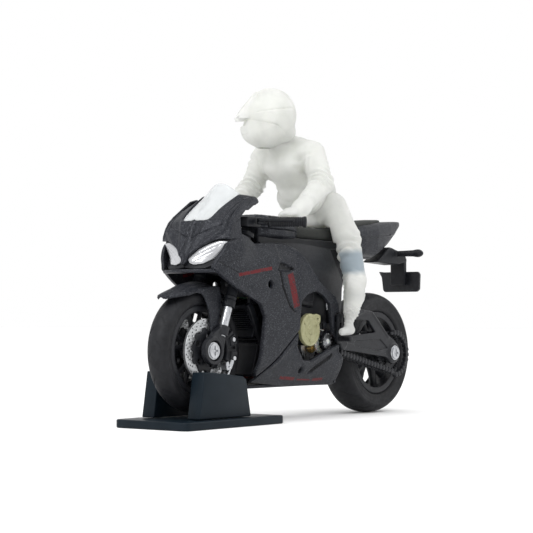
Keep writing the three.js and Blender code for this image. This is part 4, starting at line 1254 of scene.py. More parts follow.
def nose_x(y, z):
    centre = np.minimum(47.4 - 0.4 * (z - 41.8), 42.3 - (z - 54.5))
    return centre - np.interp(z, *zip(*CURL)) * y * y


def shell(surface, outline, thick):
    """A skin over a nose surface x(|y|, z), inside an outline drawn for one side."""
    def distance(x, y, z):
        side_y = np.abs(y)
        at = surface(side_y, z)
        lean = (surface(side_y + 0.1, z) - at) / 0.1
        fall = (surface(side_y, z + 0.1) - at) / 0.1
        d = (x - at) / np.sqrt(1 + lean ** 2 + fall ** 2)
        return rounded(np.maximum(d, -d - thick), loop_signed(side_y, z, outline), 0.25)

    high = max(p[0] for p in outline)
    return distance, (22, -high, min(p[1] for p in outline)), (49, high, max(p[1] for p in outline))


COWL = [(0, 42.4), (0.9, 43.2), (1.2, 44.8), (3.6, 47.3), (6.2, 48.5), (8.8, 49.3), (11.4, 49.5),
        (11.7, 50.8),
        (11.5, 53.5), (10.8, 57), (9.9, 59.6), (9.3, 60.8), (8.6, 61.4), (6.1, 62.0), (5.9, 61), (5.35, 58.2),
        (4.8, 55.2), (4.3, 54.6), (0, 54.7)]
BEZEL = [(0, 41.9), (3, 41.4), (6.2, 41.5), (9.2, 43.0), (10.9, 45.6), (11.3, 48.4), (11.2, 49.9),
         (8.8, 49.8), (6.2, 49.0), (3.6, 47.8), (1.2, 45.6), (0, 45)]
CHEEK = [(41.6, 49.3), (41.7, 50.6), (41, 53), (38.7, 56), (35.2, 58.6), (32.4, 60.6), (30.2, 61.2),
         (29.7, 60.2), (32.9, 58.2), (35.5, 56.2), (36, 53.4), (36.1, 50.4), (38.2, 49.5)]
CHIN = [(48, 0), (47.7, 3), (46.3, 6.2), (45, 8.4), (42.9, 9.6), (41.9, 9.4), (43.4, 6.4), (44.4, 0)]


def cheek_distance(x, y, z):
    outer = np.abs(y) - (11.7 - 0.17 * (z - 50))
    return rounded(np.maximum(outer, -outer - 1.1), loop_signed(x, z, CHEEK), 0.22)


def nose_marks(x, y, z):
    """Horn channels, the creases that run up from the tip, and the step round each lamp."""
    a = np.abs(y)
    near = smoothstep((x - 30) / 3)
    cut = groove(line_distance(a, z, (10.6, 52.2), (9.2, 60.0)), 0.5, 0.6)
    cut += groove(line_distance(a, z, (1.5, 44.6), (0.75, 53.4)), 0.26, 0.3)
    cut += groove(line_distance(a, z, (0.8, 49.8), (3.2, 51.0)), 0.24, 0.3)
    cut += groove(line_distance(a, z, (3.2, 51.0), (8.9, 53.2)), 0.24, 0.26)
    cut += groove(line_distance(a, z, (8.9, 53.2), (8.2, 59.4)), 0.24, 0.26)
    rise = 0.3 * np.exp(-(a / 0.55) ** 2) * smoothstep((z - 44) / 2)
    tent = np.maximum(0, 1 - line_distance(a, z, (1.4, 45), (4.3, 54.2)) / 1.1) * 0.34
    tent = tent + np.maximum(0, 1 - line_distance(a, z, (1.6, 45.4), (9.8, 52.2)) / 1.2) * 0.4
    return (cut - rise - tent) * near


def chin(s):
    return prism([(x, s * y) for x, y in fillet(CHIN, 0.4, (0, 7))], 40.5, 41.45, 0.2, "Z")


cowl = Field((26.5, -12.6, 39.6), (49.4, 12.6, 63), 0.175)
cowl.add(shell(nose_x, COWL, 1.5), 0.2)
cowl.add((cheek_distance, (28, -12.4, 49), (42.6, 12.4, 62)), 0.3)
for s in (1, -1):
    cowl.add(chin(s), 0.25)
cowl.shift(nose_marks, (30, -12.6, 42), (49.4, 12.6, 62.6))
finish_piece(cowl.mesh(1), "nose_cowl", "upper_cowl", angle=40)
bezel = field_of([shell(lambda y, z: nose_x(y, z) - 1.15, BEZEL, 1.1)], [], 0.2)
finish_piece(bezel.mesh(1), "lamp_bezel", "upper_cowl", slot="black_plastic", angle=40)

LAMP = [(0.9, 44.1), (1.7, 43.1), (3.2, 42.6), (5.6, 42.9), (7.8, 44.4), (10.0, 47.0), (11.1, 48.7),
        (8.7, 48.9), (6.2, 48.2), (3.8, 47.0), (1.3, 44.9)]


def lamp_relief(a, b, d):
    upper = groove(line_distance(a, b, (2.6, 44.9), (9.6, 48.1)), 0.16, 0.22)
    lower = groove(line_distance(a, b, (2.9, 43.6), (9.0, 47.0)), 0.14, 0.18)
    return upper + lower + 0.25 * smoothstep(1 - d / 0.9)


lamp = panel([fillet(LAMP, 0.4)], lambda a, b: nose_x(a, b) - 0.35, 0.9, 0.28, 0.25, lamp_relief, "X")
pair("lamp_lens", "headlight", lamp, angle=35)

HALF_SCREEN = [(0, 54.55), (3.2, 54.4), (4.3, 54.7), (4.9, 56.5), (5.4, 59), (5.75, 61.4), (5.5, 62.3),
               (4.4, 63.2), (2, 64.8), (1, 65.1), (0, 65.2)]


def screen_x(a, b):
    bow = np.interp(b, *zip((54.4, 0.012), (58, 0.06), (62, 0.13), (65, 0.14)))
    return 42.15 - (b - 54.5) - bow * a * a + 0.3 * np.maximum(0, 1 - np.abs(a) / 2.2)


screen = panel([fillet(mirrored(HALF_SCREEN), 0.5)], screen_x, 0.62, 0.4, 0.2,
               lambda a, b, d: 0.1 * smoothstep(1 - np.abs(d - 0.55) / 0.2), "X")
finish_piece(screen, "screen", "windscreen", angle=35)

# ---- fairings -------------------------------------------------------------------------
FAIRING = [(45.0, 41.6), (44.1, 44.4), (41.5, 48.6), (38.0, 50.2), (35.7, 51.0), (31.0, 50), (28, 48.7),
           (20, 49.3), (13, 49.1),
           (9, 47.9), (5.7, 45.7), (2.6, 42.6), (-0.5, 39.1), (-4, 37), (-8, 35), (-10.2, 32.4), (-10.5, 28),
           (-10.4, 21.6), (-7.2, 25.2), (-5.6, 32.6), (-2.6, 35.0), (0.8, 36.2), (5.2, 35.2), (7.9, 33.2),
           (8.6, 25.4),
           (25.2, 12.6), (26.2, 14.4), (24.3, 28.9), (26.6, 32.6), (31, 34.3), (36.4, 36.4), (41, 39)]
REAR_EDGE = [(23.5, 49.1), (19.4, 49.2), (13, 48.6), (7.4, 46.4), (2.3, 41.4), (-1.8, 38.0), (-8.9, 34.4),
             (-10.0, 28.7), (-10, 22.1)]
VENT = [(18.0, 42.9), (16.5, 37.1), (13.3, 31.9), (10.9, 30.4)]


def fairing_y(a, b):
    return side_width(a, b) + 2.3 * smoothstep((a - 27) / 9) * smoothstep((b - 41) / 7)


def along(a, b, points):
    return np.minimum.reduce([line_distance(a, b, p, q) for p, q in zip(points, points[1:])])


def fairing_relief(a, b, d):
    cut = groove(along(a, b, VENT), 0.42, 0.55)
    notch = loop_signed(a, b, [(16.8, 44.1), (12.9, 43.1), (10.4, 42.0), (14.3, 41.4), (18.6, 41.7),
                               (17.6, 43.4)])
    cut = cut + 0.75 * smoothstep(-notch / 0.35 + 0.3)
    # the raised panel the bar is on, its lower edge and the step below the nose
    raised = 0.22 * smoothstep((b - 29.4) / 0.6) * smoothstep((11.2 - a + (b - 30) * 0.42) / 0.5)
    cut += raised * smoothstep((a - 8.2) / 1.5)
    cut += groove(line_distance(a, b, (-3.7, 39.6), (-10, 42)), 0.2, 0.2)
    cut += groove(line_distance(a, b, (35.9, 40.6), (43.6, 43.4)), 0.2, 0.24)
    cut += groove(line_distance(a, b, (35.9, 40.6), (30, 36.0)), 0.18, 0.18)
    cut += groove(line_distance(a, b, (24.2, 48.0), (36, 47.2)), 0.2, 0.2)
    cut += groove(line_distance(a, b, (36, 47.2), (42, 46.2)), 0.2, 0.2)
    lip = np.minimum(d, 1.4)
    near = along(a, b, REAR_EDGE)
    cut -= 0.22 * smoothstep(1 - near / 0.9) * smoothstep(lip / 0.3)
    ring_off = np.hypot(a - 22, b - 37.8)
    cut += 0.3 * smoothstep(1 - (ring_off - 0.95) / 0.5) * (ring_off < 1.6)
    return cut


side_panel = panel([fillet(FAIRING, 0.5), circle(22, 37.8, 0.95, 24), circle(-9.5, 28.5, 1.5, 28)], fairing_y,
                   1.1, 0.5, 0.3, fairing_relief)
pair("side_panel", "side_fairing", side_panel, angle=32)

PAN = [(24.9, 12.2), (26.2, 11.2), (7.6, 9.5), (-14.6, 9.3), (-14.6, 13.9), (-13.4, 17.2), (-10.4, 19),
       (-10.4, 21.2), (-7, 20.4), (-2.6, 18.8), (3, 16.6), (6.6, 17), (9.6, 20.6), (9, 24.6)]


def pan_relief(a, b, d):
    slot = loop_signed(a, b, [(2.4, 12.9), (-0.5, 15.6), (-7.2, 18.6), (-6.5, 17.2), (-0.9, 14.2),
                              (0.5, 12.9)])
    cut = 0.5 * smoothstep(-slot / 0.3 + 0.3)
    cut += groove(line_distance(a, b, (-13.6, 12.4), (3.4, 11.9)), 0.16, 0.16)
    off = np.hypot(a - 5.6, b - 14.1)
    cut += 0.3 * smoothstep(1 - (off - 0.8) / 0.5) * (off < 1.4)
    return cut - 0.2 * smoothstep(1 - np.abs(d - 0.6) / 0.5) * (b > 15)


pan_side = panel([fillet(PAN, 0.5), circle(5.6, 14.1, 0.8, 20)], side_width, 1.1, 0.45, 0.28, pan_relief)
for s, where in ((1, "left"), (-1, "right")):
    slot_cut = [block((-8, -2.8, 10), (2.4, 0.8, 3), round_by=0.2)] if s < 0 else []
    floor_part = field_of([prism([(-14.4, s * 0.16), (25.2, s * 0.16), (25.6, s * 4.6), (24, s * 5.1),
                                  (-14.4, s * 5.1)],
                                 9.4, 10.4, 0.25, "Z")], slot_cut, 0.22)
    rear_wall = field_of([block((-14.0, s * 3.2, 12.2), (0.45, 2.9, 2.4), round_by=0.2)], [], 0.2)
    parts = [pan_side if s > 0 else flipped_y(pan_side), floor_part.mesh(1), rear_wall.mesh(1)]
    finish_piece(joined("pan", parts), "belly_shell_" + where, "belly_pan_" + where, angle=34)

# ---- frame, engine, radiator ----------------------------------------------------------
soften("main_frame", 0.22, 3)
inner = []
for s in (1, -1):
    inner.append(prism([(22.4, 47.5), (22.4, 51.2), (1, 51.2), (-19, 50.9), (-22.4, 49), (-18.5, 45.5),
                        (-9.5, 47.6)],
                       s * 4.9 - 1.3, s * 4.9 + 1.3, 0.3))
    inner.append(prism([(-9.5, 48.4), (-19.4, 49.4), (-17.6, 42), (-16.2, 37.5), (-14.8, 37.0),
                        (-14.8, 39.6)],
                       s * 6.9 - 0.5, s * 6.9 + 0.5, 0.25))
    inner.append(prism([(-9.8, 26.8), (-9.9, 34.6), (-3, 39.2), (8, 43.4), (15.5, 44), (15.5, 34), (9, 29),
                        (-2, 26.8)],
                       s * 5.75 - 0.45, s * 5.75 + 0.45, 0.2))
    inner.append(prism([(21.2, 32.2), (26.4, 32.5), (26.0, 37.2), (21.2, 41)], s * 5.7 - 0.5, s * 5.7 + 0.5,
                       0.2))
finish_piece(field_of(inner, [], 0.3).mesh(1), "frame_webs", "main_frame", slot="black_plastic", angle=40)
soften("dash_panel", 0.3, 3)
soften("engine_block", 0.22, 3, "engine_case")
details = []
for s in (1, -1):
    for k in range(5):
        details.append(block((8.6 + 1.1 * k, s * 7.6, 30.6 - 1.0 * k), (0.28, 0.8, 2.1), (0, 40), 0.12))
    details.append(tube((-5.6, s * 8.1, 26.6), (-5.6, s * 8.7, 26.6), 1.0, 0.15))
    details.append(tube((9.2, s * 8.1, 22.8), (9.2, s * 8.7, 22.8), 0.75, 0.15))
    details.append(block((3.0, s * 4.6, 34.6), (5.4, 2.6, 1.2), (0, 0), 0.4))
    details.append(tube((-1.5, s * 6.4, 32.6), (6.4, s * 6.4, 33.6), 1.1, 0.3))
    details.append(tube((-4.2, s * 6.9, 24.4), (-4.2, s * 8.4, 24.4), 0.8, 0.15))
finish_piece(field_of(details, [], 0.18, 0.2).mesh(1), "engine_ribs", "engine_block", angle=40)

radiator_parts = []
(top_x, top_z), (foot_x, foot_z) = (26.9, 31.6), (21.3, 21.3)
for k in range(17):
    t = 0.06 + 0.88 * k / 16
    cx, cz = top_x + (foot_x - top_x) * t, top_z + (foot_z - top_z) * t
    radiator_parts.append(block((cx - 0.3, 0, cz + 0.16), (0.85, 5.7, 0.15), (0, -28), 0.05))
radiator_parts += [prism([(26.9, 31.6), (21.3, 21.3), (19.4, 22.35), (25, 32.65)], s * 6.05 - 0.5,
                         s * 6.05 + 0.5, 0.2)
                   for s in (1, -1)]
radiator_parts.append(block((25.95, 0, 32.0), (1.05, 6.4, 0.7), (0, -28), 0.25))
radiator_parts.append(block((20.5, 0, 22.0), (1.05, 6.4, 0.7), (0, -28), 0.25))
radiator_parts.append(block((22.1, 0, 27.9), (0.35, 5.9, 5.2), (0, 28), 0.1))
radiator_parts.append(prism([(19.6, 21.9), (21.2, 21.6), (24.0, 13.2), (22.8, 12.6), (21.4, 13.0)], -5.3, 5.3,
                            0.2))
finish_piece(field_of(radiator_parts, [], 0.19, 0.1).mesh(1), "radiator_core", "radiator", angle=40)

cover_ring = [(0.02, 10.0), (1.2, 10.0), (1.35, 9.86), (1.5, 9.72), (2.6, 9.72), (2.75, 9.62), (3.55, 9.62),
              (3.7, 9.74), (4.2, 9.74), (4.5, 9.6), (4.62, 9.3), (4.62, 8.62), (0.02, 8.62)]
disc = turned(cover_ring, CLUTCH, 72)
ear = plate([fillet([(-2.2, 29.3), (-0.2, 29.9), (1.5, 29.3), (0.4, 27.4), (-1.2, 26.4), (-2.1, 27.6)], 0.5),
             circle(-0.9, 28.4, 0.3, 14)], 8.65, 9.55, 0.1)
dots = [plate([circle(*on_circle(CLUTCH, 3.1, a), 0.3, 14)], 9.5, 9.86, 0.08, 1) for a in (0.6, 2.7,
                                                                                                4.8)]
ribs = [plate([[(2.0, high), (3.8, high), (3.8, low), (2.0, low)]], 9.9, 10.12, 0.05, 1)
        for high, low in ((26.3, 25.9), (25.2, 24.8))]
pair("clutch_cover", "engine_cover", joined("cover", [disc, ear] + ribs + dots), angle=32)

# ---- swingarm, chain, drive, shock ----------------------------------------------------
LEFT_ARM = [(-10.9, 21), (-11.2, 23), (-13.6, 27.2), (-17.6, 30.2), (-23, 31.2), (-27.5, 30.8), (-31, 28.2),
            (-35.6, 23.8),
            (-39.6, 22), (-42, 20.4), (-42.6, 17.6), (-41, 15.2), (-38, 14.8), (-35.6, 16.9), (-11.6, 19.6)]
RIGHT_ARM = [(-10.9, 21), (-11.4, 23.2), (-15.4, 25.6), (-18, 28.6), (-23, 29.4), (-29, 26.6), (-35.6, 22.6),
             (-39.6, 21.6), (-42, 20.2), (-42.4, 17.4), (-41, 15.2), (-38, 14.8), (-33, 17), (-11.6, 19.4)]
arm_hole = [(-15.8, 26.4), (-19, 28.2), (-25.6, 28), (-29.4, 24.4), (-16, 23.4)]
recess = [(-18.6, 22.0), (-31.8, 22.4), (-36.0, 19.6), (-30, 19.0), (-18.0, 20.6)]
guard_path = [(-12.6 - 1.56 * k, 18.7 - 0.35 * k) for k in range(18)]
guard_path += [on_circle((-41.2, 17.9), 6.3, math.radians(a)) for a in range(-92, -290, -14)]
guard = []
for p, q in zip(guard_path, guard_path[1:]):
    lean = math.degrees(math.atan2(q[1] - p[1], q[0] - p[0]))
    guard.append(block((p[0], 8.95, p[1]), (0.52, 0.72, 0.82), (0, lean), 0.15))
    guard.append(cone((p[0], 8.95, p[1]), 0.5, (q[0], 8.95, q[1]), 0.5))
arm = field_of(guard + [
    prism(fillet(LEFT_ARM, 0.9), 8.85, 10.1, 0.3), prism(fillet(RIGHT_ARM, 0.9), -8, -6.6, 0.3),
    tube((PIVOT[0], -7, PIVOT[1]), (PIVOT[0], 9.5, PIVOT[1]), 1.3, 0.2),
    block((-17.55, 1.1, 27.6), (1.85, 8.5, 1.3), round_by=0.4),
    ring(*REAR, 1.2, 2.9, 8.85, 10.4, 0.25), ring(*REAR, 1.2, 2.6, -8.3, -6.6, 0.25),
    ring(*PIVOT, 0, 1.7, 8.9, 10.35, 0.25),
    *chain(*(((x, 10.0, z), 0.35) for x, z in ((-14.4, 28.1), (-23, 30.6), (-27.6, 30.1), (-36.2, 22.9)))),
    cone((-14.0, 10.05, 21.2), 0.3, (-34.4, 10.05, 18.2), 0.3),
], [prism(fillet(arm_hole, 0.6), 8, 11, 0.1), prism(fillet(recess, 0.5), 9.75, 11, 0.1),
    prism(fillet([(x, z - 0.9) for x, z in arm_hole], 0.6), -7.1, -5.5, 0.1),
    ring(*REAR, 0, 1.15, -9, 11, 0.05)], 0.2, 0.3)
finish_piece(arm.mesh(1), "swingarm_casting", "swingarm", angle=45)


def chain_path(count):
    """Evenly spaced points round both sprockets."""
    (xa, za), (xb, zb) = FRONT_SPROCKET, REAR
    ra, rb = 2.75, 6.0
    gap = math.dist(FRONT_SPROCKET, REAR)
    base = math.atan2(zb - za, xb - xa)
    lean = math.acos((rb - ra) / gap)
    points = []
    top_b, bottom_b = base + math.pi + lean, base + math.pi - lean
    for k in range(41):
        a = top_b + (2 * math.pi - 2 * lean) * k / 40
        points.append(on_circle(REAR, rb, a))
    for k in range(17):
        a = bottom_b + 2 * lean * k / 16
        points.append(on_circle(FRONT_SPROCKET, ra, a))
    lengths = [math.dist(p, q) for p, q in zip(points, points[1:] + points[:1])]
    whole, made, walked, i = sum(lengths), [], 0.0, 0
    for k in range(count):
        want = whole * k / count
        while walked + lengths[i] < want:
            walked += lengths[i]
            i += 1
        t = (want - walked) / lengths[i]
        p, q = points[i], points[(i + 1) % len(points)]
        made.append((p[0] + (q[0] - p[0]) * t, p[1] + (q[1] - p[1]) * t))
    return made


links = []
path = chain_path(92)
for k, p in enumerate(path):
    q = path[(k + 1) % len(path)]
    dx, dz = q[0] - p[0], q[1] - p[1]
    size = math.hypot(dx, dz)
    ux, uz = dx / size, dz / size
    wide = 0.40
    outline = [(p[0] + ux * a - uz * b, p[1] + uz * a + ux * b) for a, b in
               ((-0.34, 0), (-0.24, wide), (0.0, wide), (size / 2, wide * 0.6), (size, wide),
                (size + 0.24, wide),
                (size + 0.34, 0), (size + 0.24, -wide), (size, -wide), (size / 2, -wide * 0.6), (0, -wide),
                (-0.24, -wide))]
    for low, high in (((7.22, 7.44), (8.1, 8.32)) if k % 2 else ((7.4, 7.62), (7.92, 8.14))):
        links.append(plate([outline], low, high, 0.04, 1))
    links.append(spun([(0, 0.19), (1, 0.19)], (p[0], 7.2, p[1]), (p[0], 8.36, p[1]), 10))
finish_piece(joined("chain", links), "roller_chain", "drive_chain", angle=30)

rear_teeth = [toothed(*REAR, 5.75, 0.75, 36), circle(*REAR, 1.35, 30)] + holes(REAR, 3.3, 5, 0.3, 0.95, 20)
rear_hub = turned([(1.35, 4.8), (3.0, 4.8), (3.0, 7.4), (2.2, 7.7), (1.35, 7.7)], REAR, 48)
finish_piece(joined("sprocket", [plate(rear_teeth, 7.55, 8.0, 0.08), rear_hub]), "rear_sprocket_shape",
             "rear_sprocket", angle=30)
small_teeth = [toothed(*FRONT_SPROCKET, 2.4, 0.6, 14), circle(*FRONT_SPROCKET, 0.5, 20)]
finish_piece(plate(small_teeth, 7.55, 8.2, 0.08), "front_sprocket_shape", "front_sprocket", angle=30)


def coil(start, end, radius, wire, turns, n=150):
    """A spring of round wire."""
    p, q = Vector(start), Vector(end)
    along_axis = (q - p).normalized()
    u = along_axis.orthogonal().normalized()
    v = along_axis.cross(u)
    verts = []
    for i in range(n + 1):
        t = i / n
        a = 2 * math.pi * turns * t
        out_way = u * math.cos(a) + v * math.sin(a)
        centre = p + (q - p) * t + out_way * radius
        for j in range(8):
            b = 2 * math.pi * j / 8
            verts.append(centre + (out_way * math.cos(b) + along_axis * math.sin(b)) * wire)
    return capped("coil", verts, 8)


bar = spun(eased([(0, 1.75), (0.1, 1.75), (0.101, 1.0), (0.899, 1.0), (0.9, 1.75), (1, 1.75)], 13, 0.15),
           (-17.6, 0, 29.7), (-14.5, 0, 42.3), 36)
finish_piece(joined("shock", [bar, coil((-17.2, 0, 31.2), (-14.9, 0, 40.8), 1.5, 0.33, 6.5)]),
             "spring_and_damper", "shock_absorber", angle=30)


# ---- tank, seat, tail -----------------------------------------------------------------
def loft(stations, power=0.62):
    """A rounded body through (x, half width, low, high) stations, as a distance field shape."""
    rows = sorted(stations)
    xs = [r[0] for r in rows]
    lo, hi = xs[0], xs[-1]
    sides = 2 / power

    def distance(x, y, z):
        half, low, high = (np.interp(x, xs, [r[i] for r in rows]) for i in (1, 2, 3))
        middle, tall = (low + high) / 2, np.maximum((high - low) / 2, 0.1)
        a, b = np.abs(y) / half, np.abs(z - middle) / tall
        k = (a ** sides + b ** sides) ** (1 / sides)
        return rounded((k - 1) * np.minimum(half, tall), np.maximum(lo - x, x - hi), 0.35)

    width = max(r[1] for r in rows)
    return distance, (lo, -width, min(r[2] for r in rows)), (hi, width, max(r[3] for r in rows))


TANK = [(21.6, 5.4, 50, 55.6), (18.5, 7.2, 49.9, 57.4), (12, 7.8, 49.9, 57.3), (6, 6.6, 49.9, 56.4),
        (1.7, 4.2, 50.6, 55.4)]


def deck_marks(x, y, z):
    """Creases along the tank top and the fine wrinkles pressed into its deck."""
    a = np.abs(y)
    top = smoothstep((z - 55.6) / 0.8)
    cut = groove(line_distance(x, a, (20.5, 3.4), (4, 2.4)), 0.3, 0.26) * top
    cut += groove(line_distance(x, z, (20.6, 53.4), (3.4, 53.0)), 0.26, 0.3) * smoothstep((a - 3) / 1)
    cut += groove(np.hypot(x - 13.6, y) - 1.9, 0.2, 0.22) * top
    wrinkle = np.sin(x * 5.1 + 1.3 * np.sin(y * 2.7)) * np.sin(y * 4.3 + 1.7 * np.sin(x * 1.9))
    return cut + 0.05 * wrinkle * top * (np.hypot(x - 13.6, y) > 2.2)


tank = field_of([loft(TANK)], [], 0.17)
tank.shift(deck_marks, (1.7, -7.9, 50), (21.7, 7.9, 57.6))
finish_piece(tank.mesh(1), "tank_shell", "tank_cover", angle=50)

SEAT = [(1.2, 3.4, 51.2, 55), (-8, 4.7, 50.6, 54.8), (-19, 5.2, 50.6, 55.3), (-26, 4.6, 54.2, 57.4),
        (-36, 4, 56.2, 58.5), (-43.5, 2.2, 57.6, 58.9)]
seat = field_of([loft(SEAT, 0.55)], [], 0.19)


def seam_marks(x, y, z):
    a = np.abs(y)
    top = smoothstep((z - (54.0 + np.maximum(-20 - x, 0) * 0.18)) / 0.5)
    cut = groove(line_distance(x, a, (0.4, 2.6), (-19, 3.9)), 0.26, 0.2) * top
    cut += groove(line_distance(x, a, (-19, 3.9), (-42, 1.6)), 0.26, 0.2) * top
    return cut + groove(x + 19.6 + a * 0.3, 0.3, 0.26) * top


seat.shift(seam_marks, (-43.6, -5.3, 50.6), (1.3, 5.3, 59))
finish_piece(seat.mesh(2), "seat_cushion", "rider_seat", angle=50)

TAIL = [(-20.6, 5.3, 49.6, 54.6), (-26, 6, 47.9, 56), (-31, 6.2, 46.7, 57), (-38, 5.8, 46.6, 57.7),
        (-43, 4.8, 48.6, 58.2), (-47.8, 3.7, 51.4, 58.5), (-53, 2.2, 55.2, 58.8), (-56.8, 0.8, 57.4, 58.9)]
under_seat = [(x, h + 0.12, low - 0.12, high + 3) for x, h, low, high in SEAT]
tail_shape = field_of([loft(TAIL, 0.5)], [loft(under_seat, 0.55)], 0.2)


def tail_marks(x, y, z):
    side_cut = groove(line_distance(x, z, (-24, 52.2), (-47, 54.4)), 0.3, 0.34)
    tucked = 0.5 * smoothstep((54.2 + (x + 47) * -0.09 - z) / 0.4) * smoothstep((-24 - x) / 2)
    side_cut = side_cut + tucked * (z > 44)
    side_cut += groove(line_distance(x, z, (-27, 49.6), (-41.5, 49.2)), 0.22, 0.2)
    return side_cut * smoothstep((np.abs(y) - 2) / 1)


tail_shape.shift(tail_marks, (-57, -6.4, 46.6), (-20.6, 6.4, 58.8))
finish_piece(tail_shape.mesh(2), "tail_shell", "tail_cowl", angle=45)

# ---- rear plate -----------------------------------------------------------------------
ARM = [(-41, 45.8), (-45, 48.3), (-48.2, 50.7), (-50.2, 50.4), (-57.6, 48.2), (-58.2, 46.4), (-53, 45.2)]
hanger = [prism(fillet(ARM, 0.7), -2.8, 2.8, 0.5), block((-57.4, 0, 43.2), (0.8, 2.6, 4.2), round_by=0.3),
          tube((-52.2, -2.4, 48.7), (-52.2, 2.4, 48.7), 1.1, 0.2)]
for s in (1, -1):
    hanger.append(cone((-52.4, s * 2.4, 48.7), 0.85, (-55, s * 8.9, 48.8), 1.05))
    hanger.append(egg((-55.2, s * 8.6, 48.8), (1.35, 1.75, 1.2), (s * 20, 0)))
plate_hanger = field_of(hanger, [prism([(-49.5, 47.2), (-56, 46.9), (-53, 46.2)], -2.0, 2.0, 0.2)], 0.17, 0.4)
finish_piece(plate_hanger.mesh(1), "plate_hanger", "plate_bracket", angle=45)
PLATE = [(-6.6, 37.6), (-6, 36.9), (6, 36.9), (6.8, 37.6), (7, 42.4), (6.4, 43.2), (-6.4, 43.2), (-8.2, 43.4),
         (-7.1, 41.6)]
number = panel([fillet(PLATE, 0.4)], lambda a, b: np.full(np.shape(a), 1.0), 0.9, 0.5, 0.15,
               lambda a, b, d: 0.12 * smoothstep((d - 0.7) / 0.15), "X")
for v in number.vertices:
    v.co.x = -0.0585 - v.co.x
number.flip_normals()
finish_piece(number, "blank_plate", "number_plate", angle=32)

# ---- controls -------------------------------------------------------------------------
def ribbed(count, one):
    """Profile points for evenly spaced ribs, each drawn over one share of the length."""
    return [((k + f) / count, r) for k in range(count) for f, r in one]


def bar_end(s):
    """One handlebar with its ribbed grip, collar, end weight and lever."""
    run = Vector((17.7 - 26, s * (18.2 - 9), 0)).normalized()
    start = Vector((26, s * 9, 54.7))
    far = Vector((17.7, s * 18.2, 54.7))
    length = 8.9
    ribs = ribbed(15, ((0.02, 1.22), (0.12, 1.36), (0.72, 1.36), (0.82, 1.22)))
    grip_start = far - run * length
    parts = [spun([(0, 0.8), (1, 0.8)], start, far, 30),
             spun(eased([(0, 1.25)] + ribs + [(1, 1.25)], length, 0.12), grip_start, far, 36),
             spun(eased([(0, 1.6), (1, 1.6)], 0.8, 0.15), grip_start - run * 0.8, grip_start, 36),
             spun(eased([(0, 1.5), (1, 1.5)], 0.9, 0.2), far - run * 0.15, far + run * 0.75, 30)]
    lever = field_of([*chain(((26.6, s * 10, 55.2), 0.55), ((25.3, s * 12.2, 55.1), 0.42),
                             ((21.6, s * 17.2, 55), 0.36)),
                      egg((21.5, s * 17.4, 55), (0.5, 0.5, 0.5)),
                      block((25.6, s * 9.6, 54.9), (1.0, 1.0, 0.9), (s * -48, 0), 0.3)], [], 0.13, 0.3)
    return joined("controls", parts + [lever.mesh(1)])


finish_piece(bar_end(1), "grip_and_lever_left", "handlebar_left", angle=32)
finish_piece(bar_end(-1), "grip_and_lever_right", "handlebar_right", angle=32)

bracket = fillet([(-10.9, 29.6), (-9.9, 30.0), (-8.1, 29.8), (-7.6, 22), (-8.6, 21.2), (-10.2, 21.6)], 0.5)
peg = plate([bracket, [(-9.9, 27.3), (-9.0, 27.3), (-8.8, 24.6), (-9.7, 24.6)][::-1]], 10.75, 11.4, 0.12)
boss = spun(eased([(0, 1.1), (1, 1.1)], 3.2, 0.15), (-9.5, 7.9, 28.5), (-9.5, 11.55, 28.5), 30)
notches = ribbed(7, ((0.05, 0.62), (0.2, 0.8), (0.75, 0.8), (0.9, 0.62)))
stub = spun(eased([(0, 0.75)] + notches + [(1, 0.75)], 4.3, 0.1), (-8.9, 11.1, 22.7), (-8.9, 15.4, 22.7), 26)
pair("footrest", "footpeg", joined("footrest", [peg, boss, stub]), angle=32)

can = spun(eased([(0, 2.1), (0.1, 2.2), (0.11, 2.32), (0.16, 2.32), (0.17, 2.2), (0.84, 2.45), (0.85, 2.6),
                  (0.9, 2.6), (0.91, 2.45), (1, 2.4)], 18.3, 0.2), (-17, -11.4, 19.4), (-34, -11.4, 26.2), 48)
pipe = field_of(chain(((-9.9, -10.7, 15.8), 0.95), ((-13.5, -11.2, 17.0), 1.1), ((-17.6, -11.4, 19.6), 1.3)),
                [], 0.16, 0.5)
finish_piece(joined("silencer", [can, pipe.mesh(1)]), "silencer_can", "exhaust_silencer", angle=32)

# ---- rider ----------------------------------------------------------------------------
def folds(centre, axis, radius, pitch, depth, reach, phase=0.0):
    """Sleeve creases round a joint: slanted waves that fade away from it."""
    c, d = np.array(centre, float), np.array(axis, float)
    d = d / np.linalg.norm(d)

    def change(x, y, z):
        dx, dy, dz = x - c[0], y - c[1], z - c[2]
        t = dx * d[0] + dy * d[1] + dz * d[2]
        lean = 0.35 * dx - 0.25 * dz + 0.3 * np.sin(dy * 0.9 + phase)
        away = norm(dx - t * d[0], dy - t * d[1], dz - t * d[2])
        near = np.exp(-(t / reach) ** 2) * smoothstep((radius * 2.1 - away) / radius)
        turn = np.arctan2(dy, dx + 0.01)
        wander = 0.9 * np.sin(t * 1.1 + turn * 2 + phase) + 0.5 * np.sin(turn * 3 + phase * 2)
        share = 0.45 + 0.55 * np.sin(turn + phase * 3 + t * 0.4)
        return 1.7 * depth * share * near * np.sin((t + lean) * 2 * math.pi / pitch + wander)

    lo, hi = box_of([c], radius + reach * 1.5)
    return change, lo, hi


def rider_field(adds, cuts, marks, step=0.28, blend=1.4):
    """A softly joined figure, creased and then cut clear of what it touches."""
    lo = np.min([s[1] for s in adds], 0) - 0.6
    hi = np.max([s[2] for s in adds], 0) + 0.6
    made = Field(lo, hi, step * (1))
    for shape in adds:
        made.add(shape, blend)
    for change, low, high in marks:
        made.shift(change, low, high)
    for shape in cuts:
        made.cut(shape, 0.3)
    return made.mesh(2)


def big_box(x0, x1, y, z0, z1):
    return block(((x0 + x1) / 2, 0, (z0 + z1) / 2), ((x1 - x0) / 2, y, (z1 - z0) / 2), round_by=0.2)


